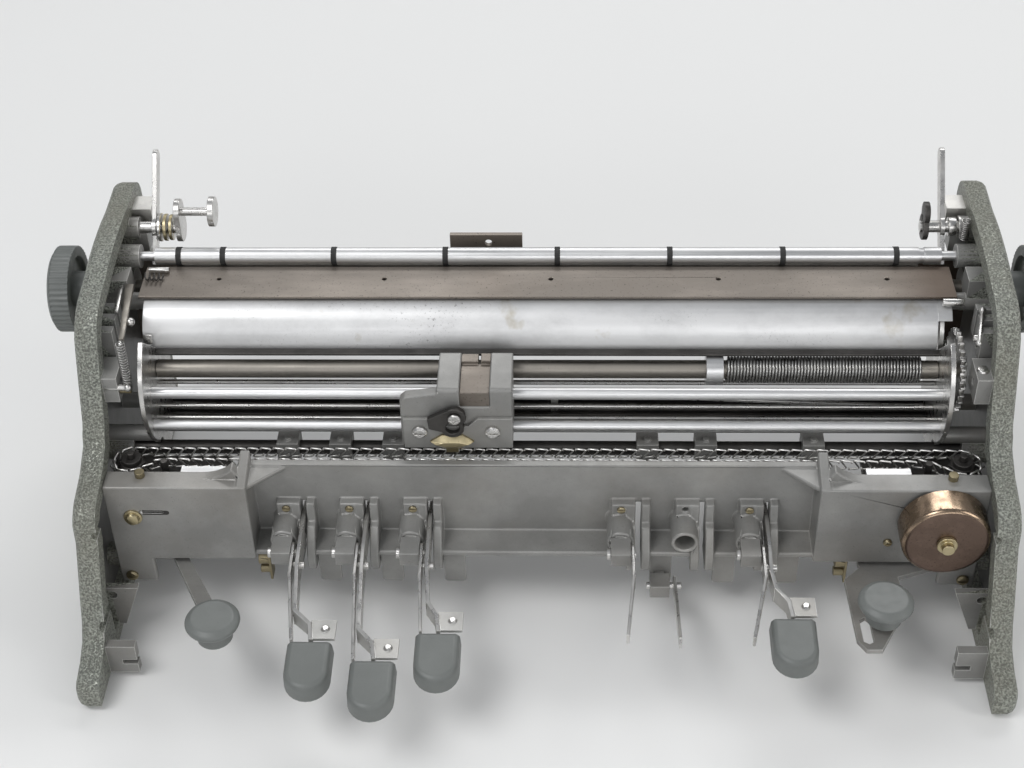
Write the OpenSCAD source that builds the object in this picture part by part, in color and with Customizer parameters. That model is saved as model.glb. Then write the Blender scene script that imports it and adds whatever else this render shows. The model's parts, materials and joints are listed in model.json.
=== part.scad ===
// Manual braille writer, shown stripped of its covers, as an assembly of separate pieces.
// Millimetres. X runs along the machine to the typist's right, Y to the rear, Z up from the table.

/* [Side frames] */
// Width over the two cast side frames
frame_w = 372.5; // [360:0.5:390]
// Height of the side frames at their highest point
frame_h = 135; // [128:1:145]
// Rear edge of the side frames, measured back from the middle
frame_rear = 107; // [102:1:120]
// Width of the rim band that runs round a side frame, along X
rim_w = 10; // [8:0.5:11]
// Thickness of the rim, across its band
rim_t = 7; // [5:0.5:9]
// Thickness of the outer wall inside the rim
wall_t = 4; // [3:0.5:5]
// Radius that rounds the outer edge of the rim
rim_round = 4; // [2:0.5:4]
// Height of the rubber feet below the frame
foot_h = 3; // [2:0.5:5]
// Diameter of a rubber foot
foot_d = 8; // [6:0.5:9]

/* [Front frame] */
// Height of the front casting's top face above the table
front_top = 71; // [69:0.5:74]
// Height of the end blocks of the front casting
block_h = 40; // [36:1:44]
// Depth of the end blocks from the front face to their rear edge
block_d = 10; // [9:0.5:11]
// Front face of the end blocks, forward of the middle
block_front = 23; // [22:0.5:26]
// Inner end of the left block, left of the middle
left_block_end = 118.5; // [115:0.5:123]
// Inner end of the right block, right of the middle
right_block_end = 109.5; // [106:0.5:114]
// Wall thickness of the casting
cast_t = 3; // [2.5:0.5:4]
// Front face of the wall between the blocks, forward of the middle
centre_front = 9; // [8.5:0.5:10]
// Height of the ledge under the wall
ledge_top = 35; // [33:0.5:37]
// Length of the legs below the end blocks
leg_drop = 13; // [10:1:16]
// Width of a leg
leg_w = 15; // [12:1:20]

/* [Keys] */
// Distance from one key station to the next
station_pitch = 26; // [24:1:30]
// Left edge of the first left-hand station pad, left of the middle
left_station = 109.5; // [107.5:0.5:111.5]
// Left edge of the first right-hand station pad
right_station = 27.5; // [22.5:0.5:29]
// Width of a station pad
pad_w = 16; // [15:0.5:18]
// Outer diameter of the tubular boss of a station
boss_d = 11; // [10.5:0.5:12]
// Diameter of the round shank of a pivot block
shank_d = 8; // [7:0.5:8.5]
// Width of the square head of a pivot block
head_w = 8; // [7:0.5:9]
// Thickness of the steel key levers
lever_t = 1.6; // [1.2:0.1:2]
// Width of a key cap
cap_w = 18; // [16:0.5:20]
// Length of a key cap
cap_len = 24; // [20:0.5:28]
// Height of a key cap
cap_h = 9; // [7:0.5:11]
// Diameter of the round buttons beside the keys
button_d = 21.5; // [18:0.5:24]
// Height of a round button
button_h = 12; // [10:0.5:15]

/* [Chain] */
// Pitch of the ladder chain
chain_pitch = 5; // [4:0.5:5.5]
// Width of the ladder chain
chain_w = 4; // [3:0.5:4.5]
// Diameter of the chain wire
wire_d = 1.2; // [0.8:0.1:1.5]
// Teeth on a chain sprocket
sprocket_teeth = 8; // [8:1:9]

/* [Carriage] */
// Length of the carriage along its rods
carriage_w = 45; // [40:1:50]
// Middle of the carriage as it stands, left of the middle of the machine
carriage_rest = 35; // [20:0.5:60]
// Diameter of the two carriage rods
rod_d = 5; // [4:0.5:5.5]
// Width of a carriage finger
finger_w = 9; // [7:0.5:10]
// Radial running clearance of the carriage on its rods and of the turning shafts
running = 0.08; // [0.05:0.01:0.1]

/* [Spring shaft] */
// Outer diameter of the tube that carries the long spring
tube_d = 7.6; // [7:0.1:8]
// Outer diameter of the collar on the tube
collar_d = 13; // [12:0.5:13.5]
// Wire of the long spring
spring_wire = 1.1; // [0.9:0.05:1.1]
// Length of the long spring
spring_len = 80; // [79:0.5:84]
// Curls in the long spring
spring_curls = 51; // [40:1:51]
// Teeth on the gear at the tube's right end
gear_teeth = 28; // [24:1:32]
// Tooth module of that gear
gear_module = 1.15; // [1:0.05:1.2]

/* [Paper feed] */
// Diameter of the aluminium feed roller
roller_d = 7.3; // [6.5:0.1:8]
// Pitch of the rubber rings on the feed roller
ring_pitch = 46.8; // [44:0.2:48]
// Diameter of the paper drum
drum_d = 24; // [20:0.5:24.5]
// Radius of the curved bright paper guide
guide_r = 17; // [15:0.5:17.5]
// Thickness of the sheet-metal pieces
sheet_t = 1; // [0.8:0.1:1.5]
// Diameter of a feed knob
knob_d = 37; // [30:1:40]
// Thickness of a feed knob
knob_t = 9.5; // [8:0.5:12]
// Grip ridges round a feed knob
knob_ridges = 48; // [36:4:60]
// Length of the paper-release levers from their shaft
release_len = 33; // [24:1:36]

/* [Bell] */
// Diameter of the gong
gong_d = 35; // [30:0.5:37]
// Depth of the gong
gong_depth = 12; // [10:0.5:13]
// Wall of the gong
gong_t = 1.5; // [1:0.1:2]

/* [Hidden] */

$fn = 32;
fine = 64;
eps = 0.01;
seat = 0.3;      // gap where one piece rests beside another that moves
screw_d = 5;     // head of a common frame screw

// Colours as the photograph shows them
hammertone = [0.52, 0.54, 0.49];
casting = [0.55, 0.55, 0.53];
plastic = [0.36, 0.40, 0.40];
steel = [0.78, 0.78, 0.76];
dark_steel = [0.34, 0.32, 0.30];
aluminium = [0.82, 0.82, 0.80];
brown_sheet = [0.50, 0.46, 0.40];
warm_tube = [0.60, 0.57, 0.52];
brass = [0.75, 0.66, 0.42];
rubber = [0.10, 0.10, 0.10];
bell_metal = [0.62, 0.50, 0.42];

// ---- Places that several pieces share, as [y, z] ----
side_x = frame_w / 2;               // outer face of a side frame
rim_x = side_x - rim_w;             // inner face of the rim
floor_x = side_x - wall_t;          // inner face of the outer wall
plate_t = 2;                        // thickness of an end plate
plate_x = rim_x - 14;               // outer face of an end plate
inner_x = plate_x - plate_t;        // inner face of an end plate
block_rear = -block_front + block_d;
front_yz = [10.8, 75];              // front carriage rod
rear_yz = [15.8, 88];               // rear carriage rod
tube_yz = [29, 90];                 // tube with the long spring
table_z = frame_h - 20;             // underside of the paper table
drum_yz = [68, table_z - 13.1];     // paper drum and knobs
roller_yz = [69.4, table_z + 3];    // feed roller
release_yz = [82, table_z + 9];     // paper-release shaft
cross_yz = [15, 59];                // cross shaft behind the front casting
chain_z = 68;                       // middle of the chain's width
chain_y = 1.6;                      // rear strand of the chain
pivot_yz = [-30, 42.4];             // pin that a key turns on
arm_yz = [-14, 25];                 // shaft of the round buttons
bell_xz = [rim_x - 18, 56];         // middle of the gong
plate_c = [33, 88];                 // middle of the end plates' round front
plate_r = 31;
guide_c = [32.5 + guide_r, table_z - 0.5 - guide_r];    // middle of the paper guide's curve

// ---- Helpers ----
function arc(c, r, a0, a1, n) =
    [for (i = [0:n]) let (a = a0 + (a1 - a0) * i / n) c + r * [cos(a), sin(a)]];

function unit(v) = v / norm(v);
function left_of(v) = [-v[1], v[0]];

// A closed outline moved inwards by d, with its points kept in number (outline runs clockwise)
function inset(p, d) = let (n = len(p)) [
    for (i = [0:n - 1])
        let (a = unit(p[i] - p[(i + n - 1) % n]), b = unit(p[(i + 1) % n] - p[i]),
             m = unit(left_of(a) + left_of(b)), c = max(0.5, m * left_of(a)))
            p[i] - m * d / c
];

// Solid through a stack of rings of equal length; all of a cap is in sight of its last point
module loft(rings) {
    n = len(rings[0]);
    k = len(rings);
    points = [for (r = rings) for (p = r) p];
    sides = [
        for (j = [0:k - 2]) for (i = [0:n - 1]) let (a = j * n + i, b = j * n + (i + 1) % n)
            each [[a, b, b + n], [a, b + n, a + n]]
    ];
    low = [for (i = [n - 1:-1:0]) i];
    high = [for (i = [0:n - 1]) (k - 1) * n + (i + n - 1) % n];
    polyhedron(points = points, faces = concat(sides, [low, high]), convexity = 6);
}

// A drawing in [y, z], extruded along X from x0 to x1
module along_x(x0, x1) {
    translate([x0, 0, 0]) rotate([90, 0, 90]) linear_extrude(x1 - x0) children();
}

// A drawing in [x, z], extruded along Y from y0 to y1
module along_y(y0, y1) {
    translate([0, y1, 0]) rotate([90, 0, 0]) linear_extrude(y1 - y0) children();
}

module box(low, high) {
    translate(low) cube(high - low);
}

module rod_x(x0, x1, yz, d) {
    translate([x0, yz[0], yz[1]]) rotate([0, 90, 0]) cylinder(h = x1 - x0, d = d);
}

module rod_y(y0, y1, xz, d) {
    translate([xz[0], y1, xz[1]]) rotate([90, 0, 0]) cylinder(h = y1 - y0, d = d);
}

module both_sides() {
    children();
    mirror([1, 0, 0]) children();
}

// Round-head screw whose head stands towards the viewer at y
module front_screw(x, y, z, d = screw_d, tall = 1.6) {
    translate([x, y, z]) rotate([90, 0, 0]) difference() {
        union() {
            cylinder(h = tall * 0.6, d = d);
            translate([0, 0, tall * 0.6]) cylinder(h = tall * 0.4, d1 = d, d2 = d * 0.7);
        }
        translate([-d, -0.4, tall * 0.5]) cube([2 * d, 0.8, tall]);
    }
}

// One unbroken helical tube along +Z: `curls` turns, 8 rings a turn, 6 sides
wind_rings = 8;
wind_sides = 6;
module helix(r, wire, pitch, curls) {
    n = curls * wind_rings;
    tilt = atan(pitch / (2 * PI * r));
    rings = [
        for (i = [0:n]) let (t = i * 360 / wind_rings)
            [for (j = [0:wind_sides - 1]) let (s = -j * 360 / wind_sides, u = wire / 2 * cos(s),
                                               v = wire / 2 * sin(s))
                [(r + u) * cos(t) + v * sin(tilt) * sin(t),
                 (r + u) * sin(t) - v * sin(tilt) * cos(t),
                 i * pitch / wind_rings + v * cos(tilt)]]
    ];
    loft(rings);
}

// Least gap of a helix to itself, on its centre line's points
function helix_gap(r, wire, pitch) = min([
    for (i = [6:10]) norm([r - r * cos(i * 45), r * sin(i * 45), pitch * i / wind_rings]) - wire
]);

// ---- Side frames ----
foot_front = -78;
bottom_z = foot_h;
// Profile of a side frame, clockwise from the toe of the front foot
side_profile = concat(
    [[foot_front, bottom_z]],
    arc([foot_front + 6, bottom_z + 6], 6, 180, 115, 3),
    [[-66, 16.5], [-59, 20], [-54.5, 26.5], [-51, 35], [-41, 56]],
    arc([-26, 57], 16, 150, 95, 4),
    [[-18, 75], [-8, 80]],
    arc([-12, 92], 10, -55, -10, 3),
    [[2, 102]],
    arc([28, 109], 22, 165, 100, 4),
    arc([66, frame_h - 150], 150, 102, 84, 6),
    arc([frame_rear - 10, frame_h - 10], 10, 75, 0, 5),
    [[frame_rear, bottom_z]]
);

function side_ring(x, d) = [for (p = inset(side_profile, d)) [x, p[0], p[1]]];

// Lugs on the inner side: [y0, y1, z0, z1, reach from the rim's inner face]
lugs = [
    [88, 98, 122, 129, 8], [80, 87, 113, 122, 7], [49, 59, 110, 120, 4],
    [20, 24, 101, 116, 3], [27, 31, 103, 117, 3], [34, 38, 104, 117, 3],
    [4, 18, 93, 105, 6]
];
posts = [[51, 108.5], [44, 60], [16, 66]];      // carry the end plates
foot_ys = [-66, 94];
bracket_y = -60;

module side_frame() {
    pocket = concat([[-44, bottom_z + rim_t]],
                    [for (p = inset(side_profile, rim_t)) if (p[0] > -46) p]);
    difference() {
        union() {
            difference() {
                loft([side_ring(rim_x, 0), side_ring(side_x - rim_round, 0),
                      side_ring(side_x - rim_round * 0.45, rim_round * 0.17),
                      side_ring(side_x - rim_round * 0.13, rim_round * 0.5),
                      side_ring(side_x, rim_round)]);
                along_x(rim_x - 1, floor_x) polygon(pocket);
            }
            for (g = lugs) box([rim_x - g[4], g[0], g[2]], [floor_x + eps, g[1], g[3]]);
            for (p = posts) rod_x(plate_x, floor_x + eps, p, 7);
            rod_x(rim_x - 6, floor_x + eps, roller_yz, 10);
            rod_x(rim_x - 2, floor_x + eps, drum_yz, 18);
            rod_x(rim_x - 5, floor_x + eps, cross_yz, 11);
            rod_x(rim_x - 4, floor_x + eps, release_yz, 9);
            rod_x(rim_x - 4, floor_x + eps, arm_yz, 10);
            foot_bracket();
            leg_web();
        }
        rod_x(rim_x - 7, side_x + 1, drum_yz, shaft_d + 2 * running);
        rod_x(rim_x - 8, floor_x - 2, roller_yz, axle_d + 2 * running);
        rod_x(rim_x - 8, floor_x - 2, cross_yz, cross_d);
        rod_x(rim_x - 8, floor_x - 2, release_yz, release_d + 2 * running);
        rod_x(rim_x - 8, floor_x - 2, arm_yz, arm_d + 2 * running);
        translate([rim_x - 8, 11, 99]) rotate([0, 90, 0]) cylinder(h = 9, d = 3.2);
        for (z = [61, 25]) rod_y(-60, -20, [rim_x, z], 4);
    }
}

// Slotted bracket on the inner side of the front foot
module foot_bracket() {
    difference() {
        box([rim_x - 12, bracket_y, bottom_z], [rim_x + 1, bracket_y + 4, 18]);
        box([rim_x - 13, bracket_y - 1, 8], [rim_x - 6, bracket_y + 5, 10.5]);
    }
}

// Tapered web behind the front leg
module leg_web() {
    along_y(-38, -35) polygon([[rim_x - 11, 29], [floor_x + eps, 29], [floor_x + eps, 8], [rim_x - 3, 8]]);
}

module left_side_frame() {
    color(hammertone) mirror([1, 0, 0]) side_frame();
}

module right_side_frame() {
    color(hammertone) side_frame();
}

module rubber_feet() {
    color(rubber) both_sides() for (y = foot_ys)
        translate([side_x - rim_w / 2, y, 0]) cylinder(h = foot_h, d1 = foot_d - 1, d2 = foot_d);
}

// ---- Front casting ----
block_low = front_top - block_h;
wall_rear = -centre_front + 3.4;
ledge_front = -block_front + 1;
ledge_t = 2.5;
left_pads = [for (i = [0:2]) -left_station + i * station_pitch];
right_pads = [for (i = [0:2]) right_station + i * station_pitch];
pads = concat(left_pads, right_pads);
boss_in = 3.6;             // tubular boss from the pad's left edge
boss_z = pivot_yz[1];
boss_front = -24;
slot_in = 11;              // middle of the lever slot from the pad's left edge
slot_w = lever_t + 0.8;
rib_w = 3.6;
pad_low = ledge_top;
pad_high = 53;
slot_high = 51;
pad_screw_z = 50.5;

// Hollow end block from x0 (outer) to x1 (inner end), open below and behind
module end_block(x0, x1, leg_side) {
    difference() {
        box([min(x0, x1), -block_front, block_low], [max(x0, x1), block_rear, front_top]);
        box([min(x0, x1) + cast_t, -block_front + cast_t, block_low - 1],
            [max(x0, x1) - cast_t, block_rear + 1, front_top - cast_t]);
    }
    leg_x = leg_side > 0 ? x0 - leg_w : x0;
    box([leg_x, -block_front, block_low - leg_drop],
        [leg_x + leg_w, -block_front + cast_t, block_low + eps]);
}

// Raised web and gusset where a block meets the wall; s = -1 left, 1 right
module block_web(x, s) {
    web_t = 4;
    rise = 5;
    x0 = s < 0 ? x - web_t : x;
    along_x(x0, x0 + web_t)
        polygon([[-block_front, front_top - cast_t], [-block_front, front_top],
                 [wall_rear - 1, front_top + rise], [wall_rear, front_top + rise],
                 [wall_rear, front_top - cast_t]]);
    along_x(x0, x0 + web_t)
        polygon([[-block_front + 1, ledge_top - ledge_t], [-block_front + 1, front_top],
                 [wall_rear, front_top], [wall_rear, ledge_top - ledge_t]]);
    // Fillet that runs up to the web from the block's top
    along_y(block_rear - 5, block_rear)
        polygon(concat([[x + s * web_t / 2, front_top - 1]],
                       arc([x + s * 18, front_top + 16], 16, s < 0 ? -90 : -90,
                           s < 0 ? -40 : -140, 6)));
    // Triangular gusset in the corner
    translate([0, 0, front_top - cast_t]) linear_extrude(2)
        polygon([[x - s * 14, -centre_front + eps], [x, -centre_front + eps],
                 [x, -block_front + 2]]);
}

// One key station on the wall: pad, step, tubular boss and the two ribs of the lever slot
module station(x) {
    box([x, -13, pad_low - 1], [x + slot_in - slot_w / 2 - rib_w + eps, -centre_front + eps, pad_high]);
    box([x, -15, pad_low - 1], [x + slot_in - slot_w / 2 - rib_w + eps, -13 + eps, 44.5]);
    rod_y(boss_front, -centre_front + eps, [x + boss_in, boss_z], boss_d);
    for (rib_x = [slot_in - slot_w / 2 - rib_w, slot_in + slot_w / 2])
        along_x(x + rib_x, x + rib_x + rib_w)
            polygon(concat([[-centre_front + eps, pad_high], [-13, pad_high], [-14, 44.5],
                            [-17, 44], [boss_front, 34]],
                           arc([boss_front + 2.5, 28], 2.5, 180, 270, 4),
                           [[-centre_front + eps, 25.5]]));
}

module front_frame() {
    color(casting) difference() {
        union() {
            end_block(-rim_x, -left_block_end, -1);
            end_block(rim_x, right_block_end, 1);
            box([-left_block_end - 1, -centre_front, ledge_top - ledge_t],
                [right_block_end + 1, wall_rear, front_top]);
            box([-left_block_end - 1, ledge_front, ledge_top - ledge_t],
                [right_block_end + 1, -centre_front + eps, ledge_top]);
            block_web(-left_block_end, -1);
            block_web(right_block_end, 1);
            for (x = pads) station(x);
        }
        for (x = pads) {
            rod_y(boss_front - 1, -centre_front - 1, [x + boss_in, boss_z], shank_d);
            box([x + slot_in - slot_w / 2, boss_front - 1, 20],
                [x + slot_in + slot_w / 2, wall_rear + 1, slot_high]);
            rod_y(-14, -centre_front - 1, [x + 4, pad_screw_z], 2.4);
        }
        // Groove beside the left block's screw, and the bore for the bell's stud
        box([-163, -block_front - 1, 57.2], [-153, -block_front + 0.4, 58.2]);
        rod_y(-block_front - 1, -block_front + cast_t + 1, bell_xz, 5);
    }
}

module frame_screws() {
    color(brass) {
        for (s = [-1, 1]) front_screw(s * 171.5, -block_front, 21.5);
        front_screw(-166, -block_front, 55);
        front_screw(right_block_end + 29, -block_front, 43, 3.5);
        for (s = [-1, 1]) translate([s * 162, block_rear - 3, front_top]) cylinder(h = 2.5, d = 4);
    }
    color(steel) for (i = [0, 1, 2, 3, 5]) front_screw(pads[i] + 4, -13, pad_screw_z, 3.4, 1);
}

// Guide tab beside each station, screwed up under the ledge
module lever_tabs() {
    tab_w = 9;
    low = 15;
    color(casting) for (x = pads) {
        along_y(-19.5, -18) polygon(concat(
            [[x + pad_w, ledge_top - ledge_t]],
            arc([x + pad_w + 1.5, low + 1.5], 1.5, 180, 270, 3),
            arc([x + pad_w + tab_w - 1.5, low + 1.5], 1.5, 270, 360, 3),
            [[x + pad_w + tab_w, ledge_top - ledge_t]]));
        box([x + pad_w, -19, ledge_top - ledge_t - 1.5], [x + pad_w + tab_w, -12, ledge_top - ledge_t]);
    }
}

// Small rollers and pins that hang below the ledge at its two ends
module stop_pins() {
    for (x = [-left_block_end + 2, right_block_end + 12]) {
        color(dark_steel) box([x + 2, -20, 16], [x + 3, -14, ledge_top - ledge_t]);
        color(brass) rod_x(x - 2, x + 2, [-17, 20], 4);
        color(steel) rod_x(x - 2, x + 2, [-17, 27], 7);
    }
    // Peg below the tension spring beside the left end plate
    color(steel) rod_x(-rim_x + 6, tension_at[0] + 1, [tension_at[1], tension_at[2] - 2], 3);
}

// ---- Ladder chain ----
sprocket_r = chain_pitch / (2 * sin(180 / sprocket_teeth));
sprocket_x = rim_x - 8.5;
sprocket_y = chain_y - sprocket_r;
strand_gap = 6;                        // between the strands, past the guide pins
front_strand = chain_y - strand_gap;
guide_x = sprocket_x - 13;             // where the front strand leaves its guide pin
window = chain_pitch - wire_d;

// A straight strand between two points in [x, y], with a window at each link
module strand(a, b) {
    run = norm(b - a);
    count = floor((run - wire_d) / chain_pitch);
    translate([a[0], a[1], chain_z - chain_w / 2]) rotate([0, 0, atan2(b[1] - a[1], b[0] - a[0])])
        translate([0, wire_d / 2, 0]) rotate([90, 0, 0]) linear_extrude(wire_d) difference() {
            square([run, chain_w]);
            for (i = [0:count - 1])
                translate([(run - count * chain_pitch) / 2 + i * chain_pitch + wire_d / 2, wire_d * 0.8])
                    square([window, chain_w - wire_d * 1.6]);
        }
}

// From the guide pin's bend to the point where the strand meets the right-hand sprocket
slant = [guide_x, front_strand] - [sprocket_x, sprocket_y];
leave_turn = atan2(slant[1], slant[0]) + acos(sprocket_r / norm(slant));
bend = 180 - atan2(-slant[1], -slant[0]) - acos(sprocket_r / norm(slant)) - 90;
guide_pin_d = 3;
guide_pin = [guide_x, front_strand]
    - (guide_pin_d / 2 + wire_d / 2 + seat) / cos(bend / 2) * [sin(bend / 2), cos(bend / 2)];

// Half turn round a sprocket on the right-hand side
module chain_end() {
    turn = 90 - (leave_turn - 360 < -180 ? leave_turn : leave_turn - 360);
    leave = [sprocket_x, sprocket_y] + sprocket_r * [cos(90 - turn), sin(90 - turn)];
    steps = 7;
    translate([sprocket_x, sprocket_y, chain_z]) difference() {
        rotate([0, 0, 90 - turn]) rotate_extrude(angle = turn, $fn = fine)
            translate([sprocket_r - wire_d / 2, -chain_w / 2]) square([wire_d, chain_w]);
        for (i = [0:steps - 1]) rotate([0, 0, 90 - (i + 0.5) * turn / steps])
            translate([sprocket_r - 2, -window / 2, -chain_w / 2 + wire_d * 0.8])
                cube([4, window, chain_w - wire_d * 1.6]);
    }
    strand([guide_x, front_strand], leave);
}

module ladder_chain() {
    color(steel) {
        strand([-sprocket_x, chain_y], [sprocket_x, chain_y]);
        strand([-guide_x, front_strand], [guide_x, front_strand]);
        both_sides() chain_end();
    }
}

module sprocket(x) {
    hub_d = 8;
    tooth_tip = sprocket_r - wire_d / 2 - seat;
    color(dark_steel) translate([x, sprocket_y, 0]) difference() {
        union() {
            translate([0, 0, chain_z - chain_w / 2 - 2]) cylinder(h = chain_w + 3, d = hub_d);
            translate([0, 0, chain_z - 0.6]) linear_extrude(1.2)
                polygon([for (i = [0:sprocket_teeth * 2 - 1])
                    (i % 2 == 0 ? tooth_tip : tooth_tip - 1.2)
                        * [cos(i * 180 / sprocket_teeth), sin(i * 180 / sprocket_teeth)]]);
        }
        translate([0, 0, chain_z - chain_w]) cylinder(h = 3 * chain_w, d = 3 + 2 * running);
    }
}

module left_sprocket() {
    sprocket(-sprocket_x);
}

module right_sprocket() {
    sprocket(sprocket_x);
}

// Shelves behind the end blocks, with the sprocket spindles and guide pins
shelf_top = chain_z - chain_w / 2 - 2 - seat;
module chain_shelf() {
    color(dark_steel) both_sides() {
        box([guide_x - 26, block_rear, shelf_top - 3], [rim_x, chain_y + 3, shelf_top]);
        translate([sprocket_x, sprocket_y, shelf_top - eps])
            cylinder(h = chain_w + 6, d = 3);
        translate([guide_pin[0], guide_pin[1], shelf_top - eps])
            cylinder(h = chain_w + 3.5, d = guide_pin_d);
        box([guide_x - 26, block_rear, shelf_top - eps], [guide_x - 8, block_rear + 4, 68.5]);
    }
}

// Bright guard strips beside the chain
module chain_guards() {
    color(aluminium) both_sides()
        box([guide_x - 26, block_rear, 68.5], [guide_x - 8, block_rear + 5, 69.3]);
}

// ---- Rod frame ----
thin_yz = [30, 82];
lower_thin_yz = [[26.4, 72], [16.5, 74]];
thin_d = 2;
cross_d = 6;

// Flat rail between the tube and the lower edge of the paper guide
rail_rear = guide_c[0] - guide_r - seat;
rail_low = tube_yz[1] + collar_d / 2 + seat;

// Plate with a round front lobe and, behind a notch for the paper guide, a part that holds the table
module end_plate() {
    difference() {
        along_x(inner_x, plate_x) polygon(concat(
            arc(plate_c, plate_r, 222, 123, 10),
            [[rail_rear, rail_low + 1.6], [rail_rear, rail_low - 2.4], [rail_rear + 2.8, rail_low - 2.4]],
            arc(guide_c, guide_r - sheet_t - seat, 183, 103, 8),
            [[46.5, table_z], [59, table_z], [59, table_z - 5], [50, table_z - 14], [50, 54], [44, 50],
             [24, 50]]));
        rod_x(inner_x - 1, plate_x + 1, front_yz, rod_d);
        rod_x(inner_x - 1, plate_x + 1, rear_yz, rod_d);
        rod_x(inner_x - 1, plate_x + 1, tube_yz, tube_end_d + 2 * running);
        rod_x(inner_x - 1, plate_x + 1, thin_yz, thin_d);
        for (p = lower_thin_yz) rod_x(inner_x - 1, plate_x + 1, p, thin_d);
        rod_x(inner_x - 1, plate_x + 1, cross_yz, cross_d + 2);
    }
}

module left_end_plate() {
    color(steel) mirror([1, 0, 0]) end_plate();
}

module right_end_plate() {
    color(steel) end_plate();
}

module front_carriage_rod() {
    color(aluminium) rod_x(-plate_x, plate_x, front_yz, rod_d);
}

module rear_carriage_rod() {
    color(aluminium) rod_x(-plate_x, plate_x, rear_yz, rod_d);
}

module thin_rods() {
    color(steel) {
        rod_x(-plate_x, plate_x, thin_yz, thin_d);
        for (p = lower_thin_yz) rod_x(-plate_x, plate_x, p, thin_d);
        // One more, held in an ear on the dot bars, that runs down towards the right
        low = [inner_x - eps * 3, 31, 68];
        high = [5.5, 35, 72];
        run = low - high;
        translate(high) rotate([0, acos(run[2] / norm(run)), atan2(run[1], run[0])])
            cylinder(h = norm(run), d = thin_d * 0.9);
        box([high[0] - 3, high[1] - 1.5, bar_top], [high[0], high[1] + 1.5, high[2] + 1.5]);
    }
}

module flat_rail() {
    color(dark_steel) box([-inner_x, rail_rear - 3.2, rail_low], [inner_x, rail_rear, rail_low + 1.2]);
}

module cross_shaft() {
    color(dark_steel) rod_x(-rim_x - 2, rim_x + 2, cross_yz, cross_d);
}

// Clamps on the cross shaft, one for each dot
clamp_xs = [-106.5, -84.5, -62.5, 42.5, 66.5, 110.5];
module shaft_clamps() {
    for (x = clamp_xs) {
        color(casting) difference() {
            box([x - 4.5, cross_yz[0] - 5.5, cross_yz[1] - 5.5],
                [x + 4.5, cross_yz[0] + 5.5, cross_yz[1] + 6.5]);
            rod_x(x - 5, x + 5, cross_yz, cross_d);
        }
        color(steel) translate([x, cross_yz[0] - 2, cross_yz[1] + 6.5]) cylinder(h = 1, d = 3);
    }
}

// Six thin bars that carry the dots' motion to the carriage
bar_top = 63;
module dot_bars() {
    color(dark_steel) for (i = [0:5])
        box([-inner_x, 28 + i * 3.4, bar_top - 7], [inner_x, 29.5 + i * 3.4, bar_top]);
}

// ---- Carriage ----
carriage_x0 = -carriage_rest - carriage_w / 2;
carriage_x1 = -carriage_rest + carriage_w / 2;
carriage_low = chain_z + chain_w / 2 + 1.5;
carriage_top = 98;
finger_top = 101;
finger_low = tube_yz[1] + collar_d / 2 + 0.6;
carriage_front = 2.5;
carriage_rear = 21;
head_x0 = carriage_x1 - 2 * finger_w - 12;      // left side of the left finger
slot_x0 = head_x0 + finger_w;
slot_x1 = carriage_x1 - finger_w;
plate_top = 87;

module carriage_body() {
    color(casting) difference() {
        union() {
            along_y(carriage_front, carriage_front + 4.5)
                polygon([[carriage_x0, carriage_low], [carriage_x1, carriage_low],
                         [carriage_x1, carriage_top + 1], [head_x0, carriage_top + 1],
                         [carriage_x0 + 2, carriage_top - 1], [carriage_x0, carriage_top - 3]]);
            box([head_x0, carriage_front, carriage_low], [carriage_x1, carriage_rear, finger_low]);
            for (x = [head_x0, slot_x1])
                along_x(x, x + finger_w)
                    polygon([[carriage_front, finger_low - eps], [carriage_front, finger_top - 1],
                             [carriage_front + 1, finger_top], [26, finger_top],
                             [26.5, finger_top - 0.5], [26.5, finger_low],
                             [carriage_rear, finger_low - eps]]);
        }
        box([slot_x0, carriage_front - 1, 92], [slot_x1, 27, finger_top + 1]);
        rod_x(carriage_x0 - 1, carriage_x1 + 1, front_yz, rod_d + 2 * running);
        rod_x(carriage_x0 - 1, carriage_x1 + 1, rear_yz, rod_d + 2 * running);
        rod_x(carriage_x0 - 1, carriage_x1 + 1, lower_thin_yz[1], thin_d + 1);
    }
}

module carriage_plate() {
    color(casting) along_y(carriage_front - 1.5, carriage_front)
        polygon([[carriage_x0 + 1, carriage_low], [carriage_x1, carriage_low],
                 [carriage_x1, plate_top], [head_x0 + 16, plate_top],
                 [head_x0 + 12, plate_top - 4], [head_x0, plate_top - 4],
                 [head_x0 - 4, plate_top], [carriage_x0 + 1, plate_top]]);
}

// Dark lever with a hole, on the front of the carriage
lever_xz = [-carriage_rest - 0.5, 89.8];
ring_xz = lever_xz + [-1, -5.6];
module carriage_lever() {
    color(dark_steel) difference() {
        along_y(carriage_front - 4 - seat, carriage_front - 1.5 - seat) difference() {
            union() {
                translate(lever_xz) circle(d = 9);
                translate(ring_xz) circle(d = 9.4);
                polygon([lever_xz + [-3, 3.3], lever_xz + [-11, -1], lever_xz + [-10.5, -6],
                         ring_xz + [-4, -2], lever_xz + [4.4, -1]]);
            }
            translate(ring_xz) circle(d = 5.6);
        }
        rod_y(-5, carriage_front, lever_xz, 3 + 2 * running);
    }
}

// Brass clamp from the carriage down to the chain
module chain_clamp() {
    x = -carriage_rest - 2;
    y = carriage_front - 1.5;
    chain_top = chain_z + chain_w / 2 + seat;
    color(brass) {
        loft([for (r = [[y, 1], [y - 1, 1], [y - 3, 0.3]])
            [for (p = [[-9, 0], [-4, 3.6], [4, 3.6], [9, 0], [3, -3.6], [-3, -3.6]])
                [x + p[0] * (r[1] == 1 ? 1 : 0.75), r[0], 75.6 + p[1] * r[1]]]]);
        box([x - 2.5, y - 1.4, chain_top], [x + 2.5, y, 74]);
        box([x - 2.5, y - 1.4, chain_top], [x + 2.5, y + 2, carriage_low]);
    }
}

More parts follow.
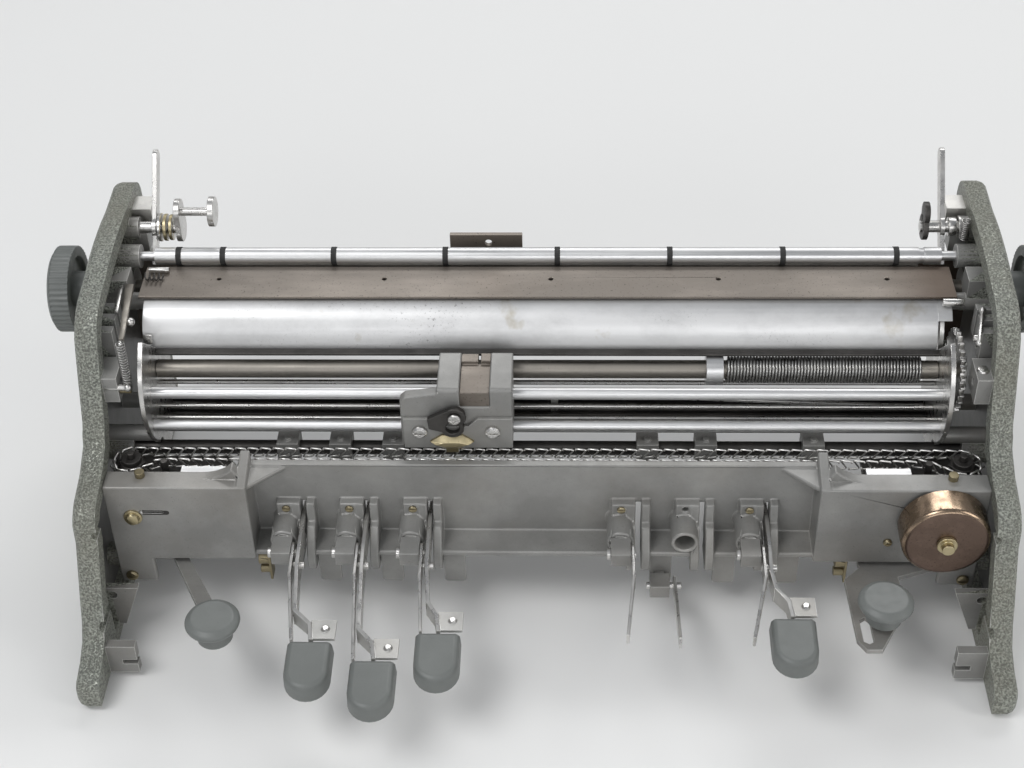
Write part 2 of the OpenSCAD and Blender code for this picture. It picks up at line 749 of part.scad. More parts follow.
module stylus_block() {
    color(brown_sheet) box([slot_x0, carriage_front + 0.5, 92], [slot_x1, 21, 99]);
    color(casting) box([slot_x0, 21, 97.6], [slot_x0 + 7, 26, 100.5]);
    color(aluminium) box([slot_x0 + 8, 21, 97.6], [slot_x1, 26, 100.8]);
}

module carriage_screws() {
    color(steel) {
        for (x = [carriage_x0 + 7.5, carriage_x1 - 8])
            front_screw(x, carriage_front - 1.5, 80.5, 6, 2);
        rod_y(carriage_front - 4.5 - seat, carriage_front, lever_xz, 3);
        front_screw(lever_xz[0], carriage_front - 4.5 - seat, lever_xz[1], 5, 1.2);
    }
}

// ---- Tube, long spring and gear ----
tube_end_d = 6;
collar_x = 69.5;
spring_x = collar_x + 5;
spring_r = tube_d / 2 + 0.6 + spring_wire / 2;
spring_pitch = (spring_len - spring_wire) / spring_curls;
gear_x = plate_x + 4;
gear_t = 4;

module spring_tube() {
    color(warm_tube) {
        rod_x(-inner_x + seat, inner_x - seat, tube_yz, tube_d);
        rod_x(-plate_x - 3, gear_x + gear_t, tube_yz, tube_end_d);
    }
}

module tube_collar() {
    color(aluminium) difference() {
        rod_x(collar_x - 3.5, collar_x + 3.5, tube_yz, collar_d);
        rod_x(collar_x - 4, collar_x + 4, tube_yz, tube_d);
    }
}

module long_spring() {
    color(steel) translate([spring_x, tube_yz[0], tube_yz[1]]) rotate([0, 90, 0])
        helix(spring_r, spring_wire, spring_pitch, spring_curls);
}

// Spur gear outline with straight-flanked teeth
module gear_2d(teeth, m) {
    r = teeth * m / 2;
    step = 360 / teeth;
    polygon([for (i = [0:teeth - 1]) each [
        (r - 1.2 * m) * [cos((i - 0.32) * step), sin((i - 0.32) * step)],
        (r + m) * [cos((i - 0.12) * step), sin((i - 0.12) * step)],
        (r + m) * [cos((i + 0.12) * step), sin((i + 0.12) * step)],
        (r - 1.2 * m) * [cos((i + 0.32) * step), sin((i + 0.32) * step)]]]);
}

module tube_gear() {
    color(steel) {
        difference() {
            translate([gear_x, tube_yz[0], tube_yz[1]]) rotate([90, 0, 90]) linear_extrude(gear_t / 2)
                gear_2d(gear_teeth, gear_module);
            rod_x(gear_x - 1, gear_x + gear_t + 1, tube_yz, tube_end_d);
        }
        difference() {
            rod_x(gear_x + gear_t / 2, gear_x + gear_t, tube_yz, gear_teeth * gear_module * 0.6);
            rod_x(gear_x - 1, gear_x + gear_t + 1, tube_yz, tube_end_d);
        }
    }
}

// ---- Small springs ----
small_wire = 0.6;
tension_r = 1.9;
tension_pitch = 1.15;
tension_curls = 19;
tension_at = [-rim_x + 9.6, 7, 99];        // lower end of the spring beside the left end plate

module tension_spring() {
    color(steel) translate(tension_at) helix(tension_r, small_wire, tension_pitch, tension_curls);
}

lever_curls = 8;
module lever_spring() {
    color(steel) translate([rim_x - tension_r - small_wire, 74.6, 123])
        helix(tension_r, small_wire, tension_pitch, lever_curls);
}

// Torsion springs on the shafts of the two round buttons
button_curls = 5;
button_spring_x = rim_x - 4 - small_wire;
module button_springs() {
    color(steel) both_sides()
        translate([button_spring_x, arm_yz[0], arm_yz[1]]) rotate([0, -90, 0])
            helix(arm_d / 2 + 0.6 + small_wire / 2, small_wire, tension_pitch, button_curls);
}

// ---- Paper feed ----
shaft_d = 8;
axle_d = 4;
release_d = 5;
ring_w = 2.3;
ring_stand = 0.25;
roller_x = plate_x + 1.75;
drum_x = inner_x - 5;

module feed_roller() {
    color(aluminium) difference() {
        union() {
            rod_x(-roller_x, roller_x, roller_yz, roller_d);
            rod_x(-rim_x - 2, rim_x + 2, roller_yz, axle_d);
        }
        for (x = concat(ring_places, [roller_x - 8])) difference() {
            rod_x(x - ring_w / 2, x + ring_w / 2, roller_yz, roller_d + 1);
            rod_x(x - ring_w, x + ring_w, roller_yz, roller_d - 1);
        }
    }
}

function ring_place(i) = -88.5 + (i - 1) * ring_pitch;

// Rings at their pitch, and one more near the left end
ring_places = concat([for (i = [0:6]) ring_place(i)], [-roller_x + 10]);

module roller_rings() {
    color(rubber) for (x = ring_places)
        difference() {
            rod_x(x - ring_w / 2, x + ring_w / 2, roller_yz, roller_d + 2 * ring_stand);
            rod_x(x - ring_w, x + ring_w, roller_yz, roller_d - 1);
        }
}

// Brown sheet with a crease along it, between the feed roller and the paper guide
module paper_table() {
    x = plate_x + 5;
    color(brown_sheet) difference() {
        along_x(-x, x) polygon([
            [43.7, table_z], [43.7, table_z + sheet_t], [59.4, table_z + sheet_t],
            [65, table_z + sheet_t - 0.3], [65, table_z - 0.3], [59.4, table_z]]);
        for (i = [-2:2]) translate([2.5 + i * 69, 56, table_z - 1]) cylinder(h = 4, d = 2);
    }
}

// Curved bright guide below the table's front edge, cut short at its lower right for the gear
module paper_guide() {
    color(aluminium) {
        along_x(-plate_x - 3, inner_x - 0.75) polygon(concat(
            arc(guide_c, guide_r, 105, 185, 12),
            [guide_c + [-guide_r + 1.6, -2.4]],
            arc(guide_c, guide_r - sheet_t, 185, 105, 12)));
        along_x(inner_x - 0.75, plate_x + 3) polygon(concat(
            arc(guide_c, guide_r, 105, 138, 5), arc(guide_c, guide_r - sheet_t, 138, 105, 5)));
    }
}

module rear_plate() {
    tab_x = -25.5;
    tab_w = 31;
    color(brown_sheet) difference() {
        union() {
            box([-floor_x, 86, 60], [floor_x, 88, 106]);
            box([tab_x - tab_w / 2, 86, 105], [tab_x + tab_w / 2, 88, 117]);
        }
        rod_y(85, 89, [tab_x + 1, 113], 3);
    }
}

module paper_drum() {
    color(warm_tube) {
        rod_x(-drum_x, drum_x, drum_yz, drum_d);
        rod_x(-hub_x, hub_x, drum_yz, shaft_d);
    }
}

// ---- Knobs ----
hub_x = side_x + 1.5;       // where the knob's hub meets the shaft
knob_x = side_x + 13;       // rear of the knob's rim
module knob() {
    color(plastic) translate([knob_x, drum_yz[0], drum_yz[1]]) rotate([90, 0, 90]) difference() {
        union() {
            linear_extrude(knob_t - 1.5) polygon([
                for (i = [0:knob_ridges * 2 - 1])
                    (knob_d / 2 - (i % 2) * 0.6)
                        * [cos(i * 180 / knob_ridges), sin(i * 180 / knob_ridges)]]);
            translate([0, 0, knob_t - 1.5 - eps]) cylinder(h = 1.5, d1 = knob_d - 1.2, d2 = knob_d - 5);
        }
        translate([0, 0, -1]) cylinder(h = 3, d = knob_d - 9);
    }
    color(plastic) rod_x(hub_x, knob_x + 3, drum_yz, 15);
}

module left_knob() {
    mirror([1, 0, 0]) knob();
}

module right_knob() {
    knob();
}

// ---- Paper release ----
release_lean = 50;          // lean of the levers back from level
tail_turn = 182;            // from the lever round to its tail, which clears the roller
lever_x = plate_x + 2.35;   // inner face of a release lever

module release_lever() {
    color(steel) {
        rod_x(lever_x - 8, rim_x + 2, release_yz, release_d);
        translate([lever_x, release_yz[0], release_yz[1]]) rotate([90, 0, 90]) linear_extrude(2)
            union() {
                circle(d = 9);
                rotate([0, 0, release_lean + tail_turn]) translate([0, -2.5]) square([16, 5]);
                rotate([0, 0, release_lean]) translate([0, -3]) square([release_len - 3, 6]);
                rotate([0, 0, release_lean]) translate([release_len - 3, 0]) circle(d = 6);
            }
    }
}

// Washers, arm and pull with a disc head on the left release shaft
module release_pull() {
    arm_x = lever_x - 11;
    pull_yz = release_yz + [0, 8];
    color(brass) for (i = [0:2])
        rod_x(lever_x - 2 - i * 2.4, lever_x - 0.6 - i * 2.4, release_yz, 12 - i * 0.5);
    color(dark_steel) along_x(arm_x, arm_x + 2.4) union() {
        translate(release_yz) circle(d = 12);
        translate(pull_yz) circle(d = 11);
        translate(release_yz + [-5.5, 0]) square([11, 8]);
    }
    color(steel) {
        rod_x(arm_x + 2.4 - eps, lever_x - 8, release_yz, release_d);
        rod_x(arm_x - 12, arm_x, pull_yz, 3.6);
        rod_x(arm_x - 14.5, arm_x - 12, pull_yz, 12.8);
    }
}

module left_release_lever() {
    mirror([1, 0, 0]) {
        release_lever();
        release_pull();
    }
}

module right_release_lever() {
    release_lever();
}

// ---- Keys ----
head_len = 10;
head_h = 6.4;
pin_d = 3;
block_stations = [0, 1, 2, 3, 5];

// Round shank in the tubular boss with a square head that carries the key's pin
module pivot_block(x) {
    color(casting) difference() {
        union() {
            rod_y(boss_front - eps, -centre_front - 1, [x, boss_z], shank_d);
            box([x - head_w / 2, boss_front - head_len, boss_z - head_h / 2],
                [x + head_w / 2, boss_front, boss_z + head_h / 2]);
        }
        rod_x(x - 6, x + 6, pivot_yz, pin_d);
    }
}

lower_block = [47.5, -26, 20];       // second small block below the fourth station
module pivot_blocks() {
    for (i = block_stations) pivot_block(pads[i] + boss_in);
    color(casting) difference() {
        box(lower_block - [4, 4, 3.2], lower_block + [4, 4, 3.2]);
        rod_x(lower_block[0] - 6, lower_block[0] + 6, [lower_block[1], lower_block[2]], pin_d);
    }
    color(casting) box([lower_block[0] - 2, lower_block[1] + 4 - eps, lower_block[2] - 2],
                       [lower_block[0] + 2, -19.5, lower_block[2] + 2]);
}

module pivot_pins() {
    color(steel) {
        for (i = block_stations) {
            rod_x(pads[i] + boss_in - head_w / 2 - 0.8, pads[i] + slot_in - lever_t / 2 - 0.4,
                  pivot_yz, pin_d);
            rod_x(pads[i] + boss_in - head_w / 2 - 1.6, pads[i] + boss_in - head_w / 2, pivot_yz, 4.6);
        }
        rod_x(lower_block[0] - 5.5, lower_block[0] + 9, [lower_block[1], lower_block[2]], pin_d);
    }
}

// Key caps: [middle x, rear y, top z]
cap_places = [[-89.7, -73.5, 40], [-64.5, -83, 40], [-40.4, -68.8, 40], [97.5, -60, 40]];
cap_slope = 4;

// Ring of a key cap in plan: straight sides, round front, drawn in by d
function cap_ring(w, l, d, z) = concat(
    [for (p = arc([0, -l + w / 2], w / 2 - d, 180, 360, 12)) [p[0], p[1], z]],
    [[w / 2 - d, -1 - d, z], [w / 2 - 1 - d, -d, z], [-w / 2 + 1 + d, -d, z], [-w / 2 + d, -1 - d, z]]);

module key_cap(i) {
    p = cap_places[i];
    color(plastic) translate([p[0], p[1], p[2] - cap_h]) rotate([cap_slope, 0, 0])
        loft([cap_ring(cap_w, cap_len, 0.6, 0), cap_ring(cap_w, cap_len, 0, 1.2),
              cap_ring(cap_w, cap_len, 0.3, cap_h - 2.2), cap_ring(cap_w, cap_len, 1, cap_h - 0.7),
              cap_ring(cap_w, cap_len, 2.4, cap_h)]);
}

// Strip of thickness t along points in plan, from z0 to z1
module path_strip(points, t, z0, z1) {
    for (k = [0:len(points) - 2]) {
        a = points[k];
        b = points[k + 1];
        side = left_of(unit(b - a)) * t / 2;
        ahead = unit(b - a) * t * 0.2;
        translate([0, 0, z0]) linear_extrude(z1 - z0)
            polygon([a - ahead - side, b + ahead - side, b + ahead + side, a - ahead + side]);
    }
}

// Main lever: through the slot, forward, then a jog to the middle of the cap
module key_lever(pad, i, link_dx, link_reach) {
    x = pad + slot_in;
    cap_x = cap_places[i][0];
    cap_y = cap_places[i][1];
    bend_y = cap_y + 13;
    color(steel) {
        intersection() {
            path_strip([[x, -4], [x, -40], [x + 1.5, bend_y], [cap_x - 1, bend_y - 6],
                        [cap_x, cap_y + seat]], lever_t, 20, 60);
            along_x(x - 20, x + 30) polygon([
                [-4, 46.5], [-14, 47.5], [-30, 47], [bend_y, 41.5], [cap_y, 39],
                [cap_y, 33], [bend_y, 33.5], [-40, 36], [-30, 38], [-18, 38], [-12, 41], [-4, 43]]);
        }
        box([cap_x - 0.5, cap_y + seat, 37.5], [cap_x + 9.5, cap_y + 10, 39]);
        translate([cap_x + 5.5, cap_y + 5, 39]) cylinder(h = 1.2, d1 = 3.6, d2 = 2.4);
        rod_x(x - 3.2, x + 2.6, [-37, 42], 3);
    }
    key_link(pad, link_dx, link_reach);
}

// Thin link beside a pivot block, from the pin forward
module key_link(pad, dx, reach) {
    x0 = pad + boss_in + head_w / 2 + 0.9;
    color(steel) difference() {
        union() {
            along_x(x0 - 0.6, x0 + 0.6) translate(pivot_yz) circle(d = 8);
            intersection() {
                path_strip([[x0, pivot_yz[0]], [x0, -44], [x0 + dx, reach]], 1.2, 20, 60);
                along_x(x0 - 20, x0 + 20) polygon([
                    [pivot_yz[0], 46.4], [-44, 45], [reach, 37.5], [reach, 32.5], [-44, 37],
                    [pivot_yz[0], 38.4]]);
            }
        }
        rod_x(x0 - 1, x0 + 1, pivot_yz, pin_d + 2 * running);
    }
}

module key_lever_1() { key_lever(pads[0], 0, 3.5, -72.5); }
module key_lever_2() { key_lever(pads[1], 1, 2.5, -82); }
module key_lever_3() { key_lever(pads[2], 2, 1.5, -67.8); }
module key_lever_6() { key_lever(pads[5], 3, -6, -70); }
module key_cap_1() { key_cap(0); }
module key_cap_2() { key_cap(1); }
module key_cap_3() { key_cap(2); }
module key_cap_6() { key_cap(3); }

// Two bare levers that carry no key
module upper_space_lever() {
    key_link(pads[3], -2.7, -69);
}

module lower_space_lever() {
    x = lower_block[0] + 5.6;
    color(steel) difference() {
        along_x(x, x + 1.2) union() {
            translate([lower_block[1], lower_block[2]]) circle(d = 8);
            polygon([[lower_block[1], lower_block[2] + 4], [-68, 35], [-70, 31], [-66, 29.5],
                     [lower_block[1], lower_block[2] - 3.5]]);
        }
        rod_x(x - 1, x + 3, [lower_block[1], lower_block[2]], pin_d + 2 * running);
    }
}

// ---- Round buttons ----
arm_d = 5;
arm_tilt = 9;

module round_button(x, y, z) {
    color(plastic) translate([x, y, z]) rotate_extrude($fn = fine)
        polygon(concat([[0, 0], [6.6, 0], [7, 0.6], [7, button_h - 6.4], [button_d / 2 - 2, button_h - 4.6]],
                       arc([button_d / 2 - 1.6, button_h - 2.8], 1.6, -60, 70, 5),
                       [[button_d / 2 - 3, button_h], [0, button_h]]));
}

// Shaft and flat arm of a button, drawn level along the shaft and tilted up to the button
module button_arm(outline, slot = []) {
    color(steel) rod_x(rim_x - 24, rim_x + 2, arm_yz, arm_d);
    color(casting) translate([0, arm_yz[0], arm_yz[1]]) rotate([-arm_tilt, 0, 0])
        translate([0, -arm_yz[0], 0]) linear_extrude(2) difference() {
            polygon(outline);
            if (len(slot) > 0) polygon(slot);
        }
}

line_x = rim_x - 48.75;     // middle of the line-space button
back_x = rim_x - 43.75;     // middle of the back-space button
arm_root = rim_x - 18.25;   // outer edge of an arm at its shaft

module line_space_key() {
    mirror([1, 0, 0]) {
        button_arm([[arm_root, arm_yz[0] + 3], [arm_root - 6, arm_yz[0] + 3], [line_x - 2, -62],
                    [line_x - 3, -74], [line_x + 4, -74], [line_x + 6, -62]]);
        round_button(line_x, -70, 35.8);
        color(steel) translate([line_x, -70, 33]) cylinder(h = 4, d = 6);
    }
}

module back_space_key() {
    x = back_x;
    button_arm([[arm_root, arm_yz[0] + 3], [x - 4, arm_yz[0] + 3], [x - 4, -24], [x - 11, -32],
                [x - 11, -70], [x - 8, -76], [x - 2, -76], [x + 1, -70], [x + 11, -50],
                [x + 11, -30], [arm_root, -24]],
               [[x - 8.5, -71], [x - 8.5, -58], [x - 6, -56], [x - 4.5, -58], [x - 4.5, -71],
                [x - 6.5, -72.5]]);
    round_button(x, -60, 38);
    color(steel) translate([x, -60, 31]) cylinder(h = 8, d = 6);
}

// ---- Bell ----
gong_rear = -block_front - 2;
module bell_gong() {
    color(bell_metal) translate([bell_xz[0], gong_rear, bell_xz[1]]) rotate([90, 0, 0])
        rotate_extrude($fn = fine) polygon(concat(
            [[3.2, gong_depth]],
            [[gong_d / 2 - 2.5, gong_depth]],
            arc([gong_d / 2 - 2.5, gong_depth - 2.5], 2.5, 80, 10, 4),
            [[gong_d / 2, 0], [gong_d / 2 - gong_t, 0], [gong_d / 2 - gong_t, gong_depth - 3],
             [gong_d / 2 - 3, gong_depth - gong_t], [3.2, gong_depth - gong_t]]));
}

// Stud, nut and spacer that hold the gong to the block
module bell_stud() {
    gong_front = gong_rear - gong_depth;
    color(brass) {
        rod_y(gong_front - 4, -block_front + cast_t, bell_xz, 5);
        rod_y(gong_front - 1.5, gong_front, bell_xz, 8);
        rod_y(gong_front + gong_t, -block_front, bell_xz, 8);
    }
}

echo(long_spring_gap = helix_gap(spring_r, spring_wire, spring_pitch));
echo(small_spring_gap = helix_gap(tension_r, small_wire, tension_pitch));

echo(button_spring_gap = helix_gap(arm_d / 2 + 0.6 + small_wire / 2, small_wire, tension_pitch));

left_side_frame();
right_side_frame();
rubber_feet();
front_frame();
frame_screws();
lever_tabs();
stop_pins();
chain_shelf();
chain_guards();
ladder_chain();
left_sprocket();
right_sprocket();
left_end_plate();
right_end_plate();
front_carriage_rod();
rear_carriage_rod();
thin_rods();
flat_rail();
cross_shaft();
shaft_clamps();
dot_bars();
carriage_body();
carriage_plate();
carriage_lever();
chain_clamp();
stylus_block();
carriage_screws();
spring_tube();
tube_collar();
tube_gear();
long_spring();
tension_spring();
lever_spring();
feed_roller();
roller_rings();
paper_table();
paper_guide();
rear_plate();
paper_drum();
left_knob();
right_knob();
left_release_lever();
right_release_lever();
pivot_blocks();
pivot_pins();
key_lever_1();
key_cap_1();
key_lever_2();
key_cap_2();
key_lever_3();
key_cap_3();
key_lever_6();
key_cap_6();
upper_space_lever();
lower_space_lever();
line_space_key();
back_space_key();
button_springs();
bell_gong();
bell_stud();
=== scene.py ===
"""Manual braille writer without its covers: finishes, detail pieces, light and camera.

Lengths are in metres, except in the tables and constants that say millimetres.
"""

import json
import math
import bmesh
import bpy
from mathutils import Matrix, Vector

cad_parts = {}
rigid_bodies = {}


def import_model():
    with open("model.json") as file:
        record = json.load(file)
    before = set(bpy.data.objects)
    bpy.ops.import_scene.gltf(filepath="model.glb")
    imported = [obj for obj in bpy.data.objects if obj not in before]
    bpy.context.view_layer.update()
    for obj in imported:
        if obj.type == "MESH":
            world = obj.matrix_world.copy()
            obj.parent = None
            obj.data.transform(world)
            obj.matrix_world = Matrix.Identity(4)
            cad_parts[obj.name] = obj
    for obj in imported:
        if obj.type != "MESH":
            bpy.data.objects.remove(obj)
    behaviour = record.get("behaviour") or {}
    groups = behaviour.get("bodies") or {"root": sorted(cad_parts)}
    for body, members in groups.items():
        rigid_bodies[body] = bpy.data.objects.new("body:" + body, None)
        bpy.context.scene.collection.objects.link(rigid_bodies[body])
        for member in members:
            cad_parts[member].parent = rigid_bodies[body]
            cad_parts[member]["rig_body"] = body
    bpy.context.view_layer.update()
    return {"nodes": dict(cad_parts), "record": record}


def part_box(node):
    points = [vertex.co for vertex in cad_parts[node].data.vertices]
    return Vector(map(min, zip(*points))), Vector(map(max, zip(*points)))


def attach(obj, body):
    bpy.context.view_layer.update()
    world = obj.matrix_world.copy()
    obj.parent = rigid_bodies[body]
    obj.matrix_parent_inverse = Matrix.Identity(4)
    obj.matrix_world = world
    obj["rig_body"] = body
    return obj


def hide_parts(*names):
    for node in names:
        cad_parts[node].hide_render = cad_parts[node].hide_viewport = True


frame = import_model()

bl_info = {
    "name": "Braille writer",
    "version": (1, 0, 0),
    "blender": (4, 5, 0),
    "location": "View3D > Sidebar > Writer",
    "description": "Finishes and detail pieces for a manual braille writer",
    "category": "Object",
}

MM = 0.001
MERGE_DISTANCE = 0.002 * MM
FLAT_DEGREES = 0.4           # facets that meet at less become one face
SMOOTH_DEGREES = 38          # edges that turn by more stay sharp
BEVEL_STEPS = 2              # segments across a rounded edge
TEST_SLACK = 0.2 * MM        # slack when a face's place picks its finish


def node_body(node):
    """Name of the body that a CAD node rides on."""
    return frame["nodes"][node]["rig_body"]


def node_slot(node):
    """Material slot that the record gives a CAD node."""
    for part in frame["record"]["subparts"]:
        if part["node"] == node:
            return part["material_slot"]
    raise RuntimeError(f"no slot for {node}")


# ---------------------------------------------------------------- settings
def colour_prop(name, text, default):
    return bpy.props.FloatVectorProperty(
        name=name, description=text, subtype="COLOR", size=3, min=0, max=1, default=default
    )


def length_prop(name, text, default):
    return bpy.props.FloatProperty(
        name=name, description=text, subtype="DISTANCE", unit="LENGTH", min=0, default=default
    )


class WriterColours(bpy.types.PropertyGroup):
    """Colours of the machine's finishes."""

    hammertone: colour_prop("Hammered paint", "Side frames", (0.225, 0.235, 0.205))
    casting: colour_prop("Casting paint", "Front casting and carriage", (0.225, 0.223, 0.214))
    plastic: colour_prop("Plastic", "Key caps, buttons and knobs", (0.135, 0.144, 0.138))
    nickel: colour_prop("Nickel", "Key levers, rods and small steel", (0.62, 0.61, 0.59))
    aluminium: colour_prop("Aluminium", "Rods, roller and paper guide", (0.70, 0.70, 0.70))
    sheet: colour_prop("Sheet", "Paper table and rear plate", (0.165, 0.145, 0.125))
    dark: colour_prop("Dark steel", "Shafts and bars inside", (0.060, 0.057, 0.054))
    gong: colour_prop("Gong face", "Front of the bell", (0.135, 0.095, 0.075))


class WriterSizes(bpy.types.PropertyGroup):
    """Sizes that the detail pieces use."""

    edge: length_prop("Casting edge", "Radius on the edges of castings", 0.0006)
    sheet_edge: length_prop("Sheet edge", "Radius on the edges of sheet pieces", 0.0002)
    spring_wire: length_prop("Long spring wire", "Wire of the long spring", 0.00115)
    spring_turns: bpy.props.IntProperty(
        name="Long spring turns", description="Turns of the long spring", default=61, min=10, max=90
    )
    chain_wire: length_prop("Chain wire", "Wire of the ladder chain", 0.0009)


# ---------------------------------------------------------------- materials
class Finish:
    """A procedural finish on Object coordinates, built up layer by layer."""

    def __init__(self, name, colour, metallic, roughness, **sockets):
        self.mat = bpy.data.materials.new(name)
        self.mat.use_nodes = True
        tree = self.mat.node_tree
        self.tree = tree
        self.bsdf = tree.nodes["Principled BSDF"]
        self.coords = tree.nodes.new("ShaderNodeTexCoord").outputs["Object"]
        self.bsdf.inputs["Base Color"].default_value = (*colour, 1)
        self.bsdf.inputs["Metallic"].default_value = metallic
        self.bsdf.inputs["Roughness"].default_value = roughness
        for key, value in sockets.items():
            self.bsdf.inputs[key.replace("_", " ")].default_value = value
        self.colour = (*colour, 1)
        self.colour_out = None
        self.rough_out = None
        self.roughness = roughness
        self.height = None

    def link(self, a, b):
        self.tree.links.new(a, b)

    def node(self, kind, **values):
        n = self.tree.nodes.new("ShaderNode" + kind)
        for key, value in values.items():
            setattr(n, key, value)
        return n

    def noise(self, scale, stretch=(1, 1, 1), detail=3.0, rough=0.55):
        """Noise of `scale` cells per metre, drawn out by `stretch`."""
        mapping = self.node("Mapping")
        mapping.inputs["Scale"].default_value = stretch
        self.link(self.coords, mapping.inputs["Vector"])
        n = self.node("TexNoise")
        n.inputs["Scale"].default_value = scale
        n.inputs["Detail"].default_value = detail
        n.inputs["Roughness"].default_value = rough
        self.link(mapping.outputs[0], n.inputs["Vector"])
        return n.outputs["Fac"]

    def ramp(self, value, low, high, a=0.0, b=1.0):
        """value from low..high to a..b, held at both ends."""
        n = self.node("MapRange")
        for socket, number in zip(("From Min", "From Max", "To Min", "To Max"), (low, high, a, b)):
            n.inputs[socket].default_value = number
        self.link(value, n.inputs["Value"])
        return n.outputs["Result"]

    def tint(self, mask, colour):
        """Lays a colour over what is there, where mask is 1."""
        n = self.node("Mix", data_type="RGBA")
        n.inputs["A"].default_value = self.colour
        if self.colour_out:
            self.link(self.colour_out, n.inputs["A"])
        n.inputs["B"].default_value = (*colour, 1)
        self.link(mask, n.inputs["Factor"])
        self.colour_out = n.outputs["Result"]
        return self

    def polish(self, mask, roughness):
        """Sets the roughness to a value where mask is 1."""
        n = self.node("Mix", data_type="FLOAT")
        n.inputs["A"].default_value = self.roughness
        if self.rough_out:
            self.link(self.rough_out, n.inputs["A"])
        n.inputs["B"].default_value = roughness
        self.link(mask, n.inputs["Factor"])
        self.rough_out = n.outputs["Result"]
        return self

    def raise_by(self, value, depth):
        """Adds value times depth (metres) to the surface's height."""
        n = self.node("Math", operation="MULTIPLY_ADD")
        n.inputs[1].default_value = depth
        n.inputs[2].default_value = 0.0
        self.link(value, n.inputs[0])
        if self.height:
            self.link(self.height, n.inputs[2])
        self.height = n.outputs[0]
        return self

    def edges(self, radius):
        """Mask that is 1 on outer edges; the finishes paint these lighter, as wear and as a painted
        highlight.
        """
        bevel = self.node("Bevel", samples=6)
        bevel.inputs["Radius"].default_value = radius
        geometry = self.node("NewGeometry")
        dot = self.node("VectorMath", operation="DOT_PRODUCT")
        self.link(bevel.outputs[0], dot.inputs[0])
        self.link(geometry.outputs["Normal"], dot.inputs[1])
        return self.ramp(dot.outputs["Value"], 0.985, 0.90)

    def done(self):
        """Joins the layers to the shader and returns the material."""
        if self.colour_out:
            self.link(self.colour_out, self.bsdf.inputs["Base Color"])
        if self.rough_out:
            self.link(self.rough_out, self.bsdf.inputs["Roughness"])
        if self.height:
            bump = self.node("Bump")
            bump.inputs["Strength"].default_value = 1.0
            bump.inputs["Distance"].default_value = 1.0
            self.link(self.height, bump.inputs["Height"])
            self.link(bump.outputs[0], self.bsdf.inputs["Normal"])
        return self.mat


def shade(colour, factor):
    """The colour made lighter or darker by a factor."""
    return tuple(min(1.0, c * factor) for c in colour)


def hammered_paint(c):
    """Pebbled paint: rounded grains about a millimetre across, with painted highlight on top and
    painted shade between.
    """
    f = Finish("hammered_paint", c.hammertone, 0.30, 0.36, Specular_IOR_Level=0.8)
    grains = f.noise(1250, detail=2.0, rough=0.5)
    # painted highlight on the grain tops and painted shade in the hollows, both following the grain
    # height
    f.tint(f.ramp(grains, 0.50, 0.60, 0, 0.8), shade(c.hammertone, 1.8))
    f.tint(f.ramp(grains, 0.46, 0.38, 0, 0.9), shade(c.hammertone, 0.5))
    f.tint(f.ramp(f.noise(16, detail=5), 0.40, 0.68, 0, 0.45), (0.19, 0.175, 0.125))
    fine = f.noise(2300, detail=2)
    f.raise_by(f.ramp(grains, 0.36, 0.62), 0.00040).raise_by(fine, 0.00005)
    f.polish(f.ramp(fine, 0.45, 0.62), 0.55)
    # edges painted lighter, as wear and as a painted highlight
    f.tint(f.edges(0.0004), shade(c.hammertone, 1.5))
    return f.done()


def casting_paint(c, name="casting_paint", warm=0.3, level=1.0):
    """Smooth grey paint with handling dirt in clouds, and edges painted lighter as wear and as a
    painted highlight.
    """
    colour = shade(c.casting, level)
    f = Finish(name, colour, 0.25, 0.46, Specular_IOR_Level=0.5)
    cloud = f.noise(30, detail=6, rough=0.62)
    f.tint(f.ramp(cloud, 0.38, 0.68), shade(colour, 1.4))
    f.tint(f.ramp(f.noise(13, detail=5), 0.48, 0.72, 0, warm), shade((0.185, 0.150, 0.108), level))
    f.tint(f.ramp(f.noise(2100, detail=1), 0.69, 0.76, 0, 0.7), shade(colour, 0.4))
    # edges painted lighter, as wear and as a painted highlight
    f.tint(f.edges(0.00045), shade(colour, 3.0))
    f.polish(f.ramp(cloud, 0.4, 0.7), 0.36)
    f.raise_by(f.noise(800, detail=3), 0.00005).raise_by(cloud, 0.00020)
    return f.done()


def moulded_plastic(c):
    """Matte grey plastic, faintly mottled, with edges painted lighter as rubbing and as a painted
    highlight.
    """
    f = Finish("moulded_plastic", c.plastic, 0.0, 0.42, Specular_IOR_Level=0.5)
    f.tint(f.ramp(f.noise(60, detail=4), 0.4, 0.75, 0, 0.5), shade(c.plastic, 1.3))
    f.tint(f.ramp(f.noise(1500, detail=2), 0.62, 0.75, 0, 0.35), shade(c.plastic, 0.7))
    # edges painted lighter, as rubbing and as a painted highlight
    f.tint(f.edges(0.0004), shade(c.plastic, 1.6))
    f.polish(f.ramp(f.noise(220, detail=4), 0.45, 0.7), 0.54)
    f.raise_by(f.noise(2600, detail=2), 0.000018)
    return f.done()


def plated(c, name="nickel_plate", colour=None, roughness=0.24, along=(1, 1, 1), stain=0.4):
    """Bright metal with faint lines along one direction, small stains and dark pits."""
    colour = tuple(colour or c.nickel)
    f = Finish(name, colour, 1.0, roughness)
    lines = f.noise(260, stretch=along, detail=4)
    f.tint(f.ramp(f.noise(45, detail=6, rough=0.7), 0.46, 0.74, 0, stain), shade(colour, 0.5))
    f.tint(f.ramp(f.noise(1500, detail=3), 0.64, 0.74, 0, 0.7 * stain + 0.1), shade(colour, 0.3))
    f.polish(f.ramp(lines, 0.35, 0.7), roughness * 1.7)
    f.raise_by(lines, 0.000014)
    return f.done()


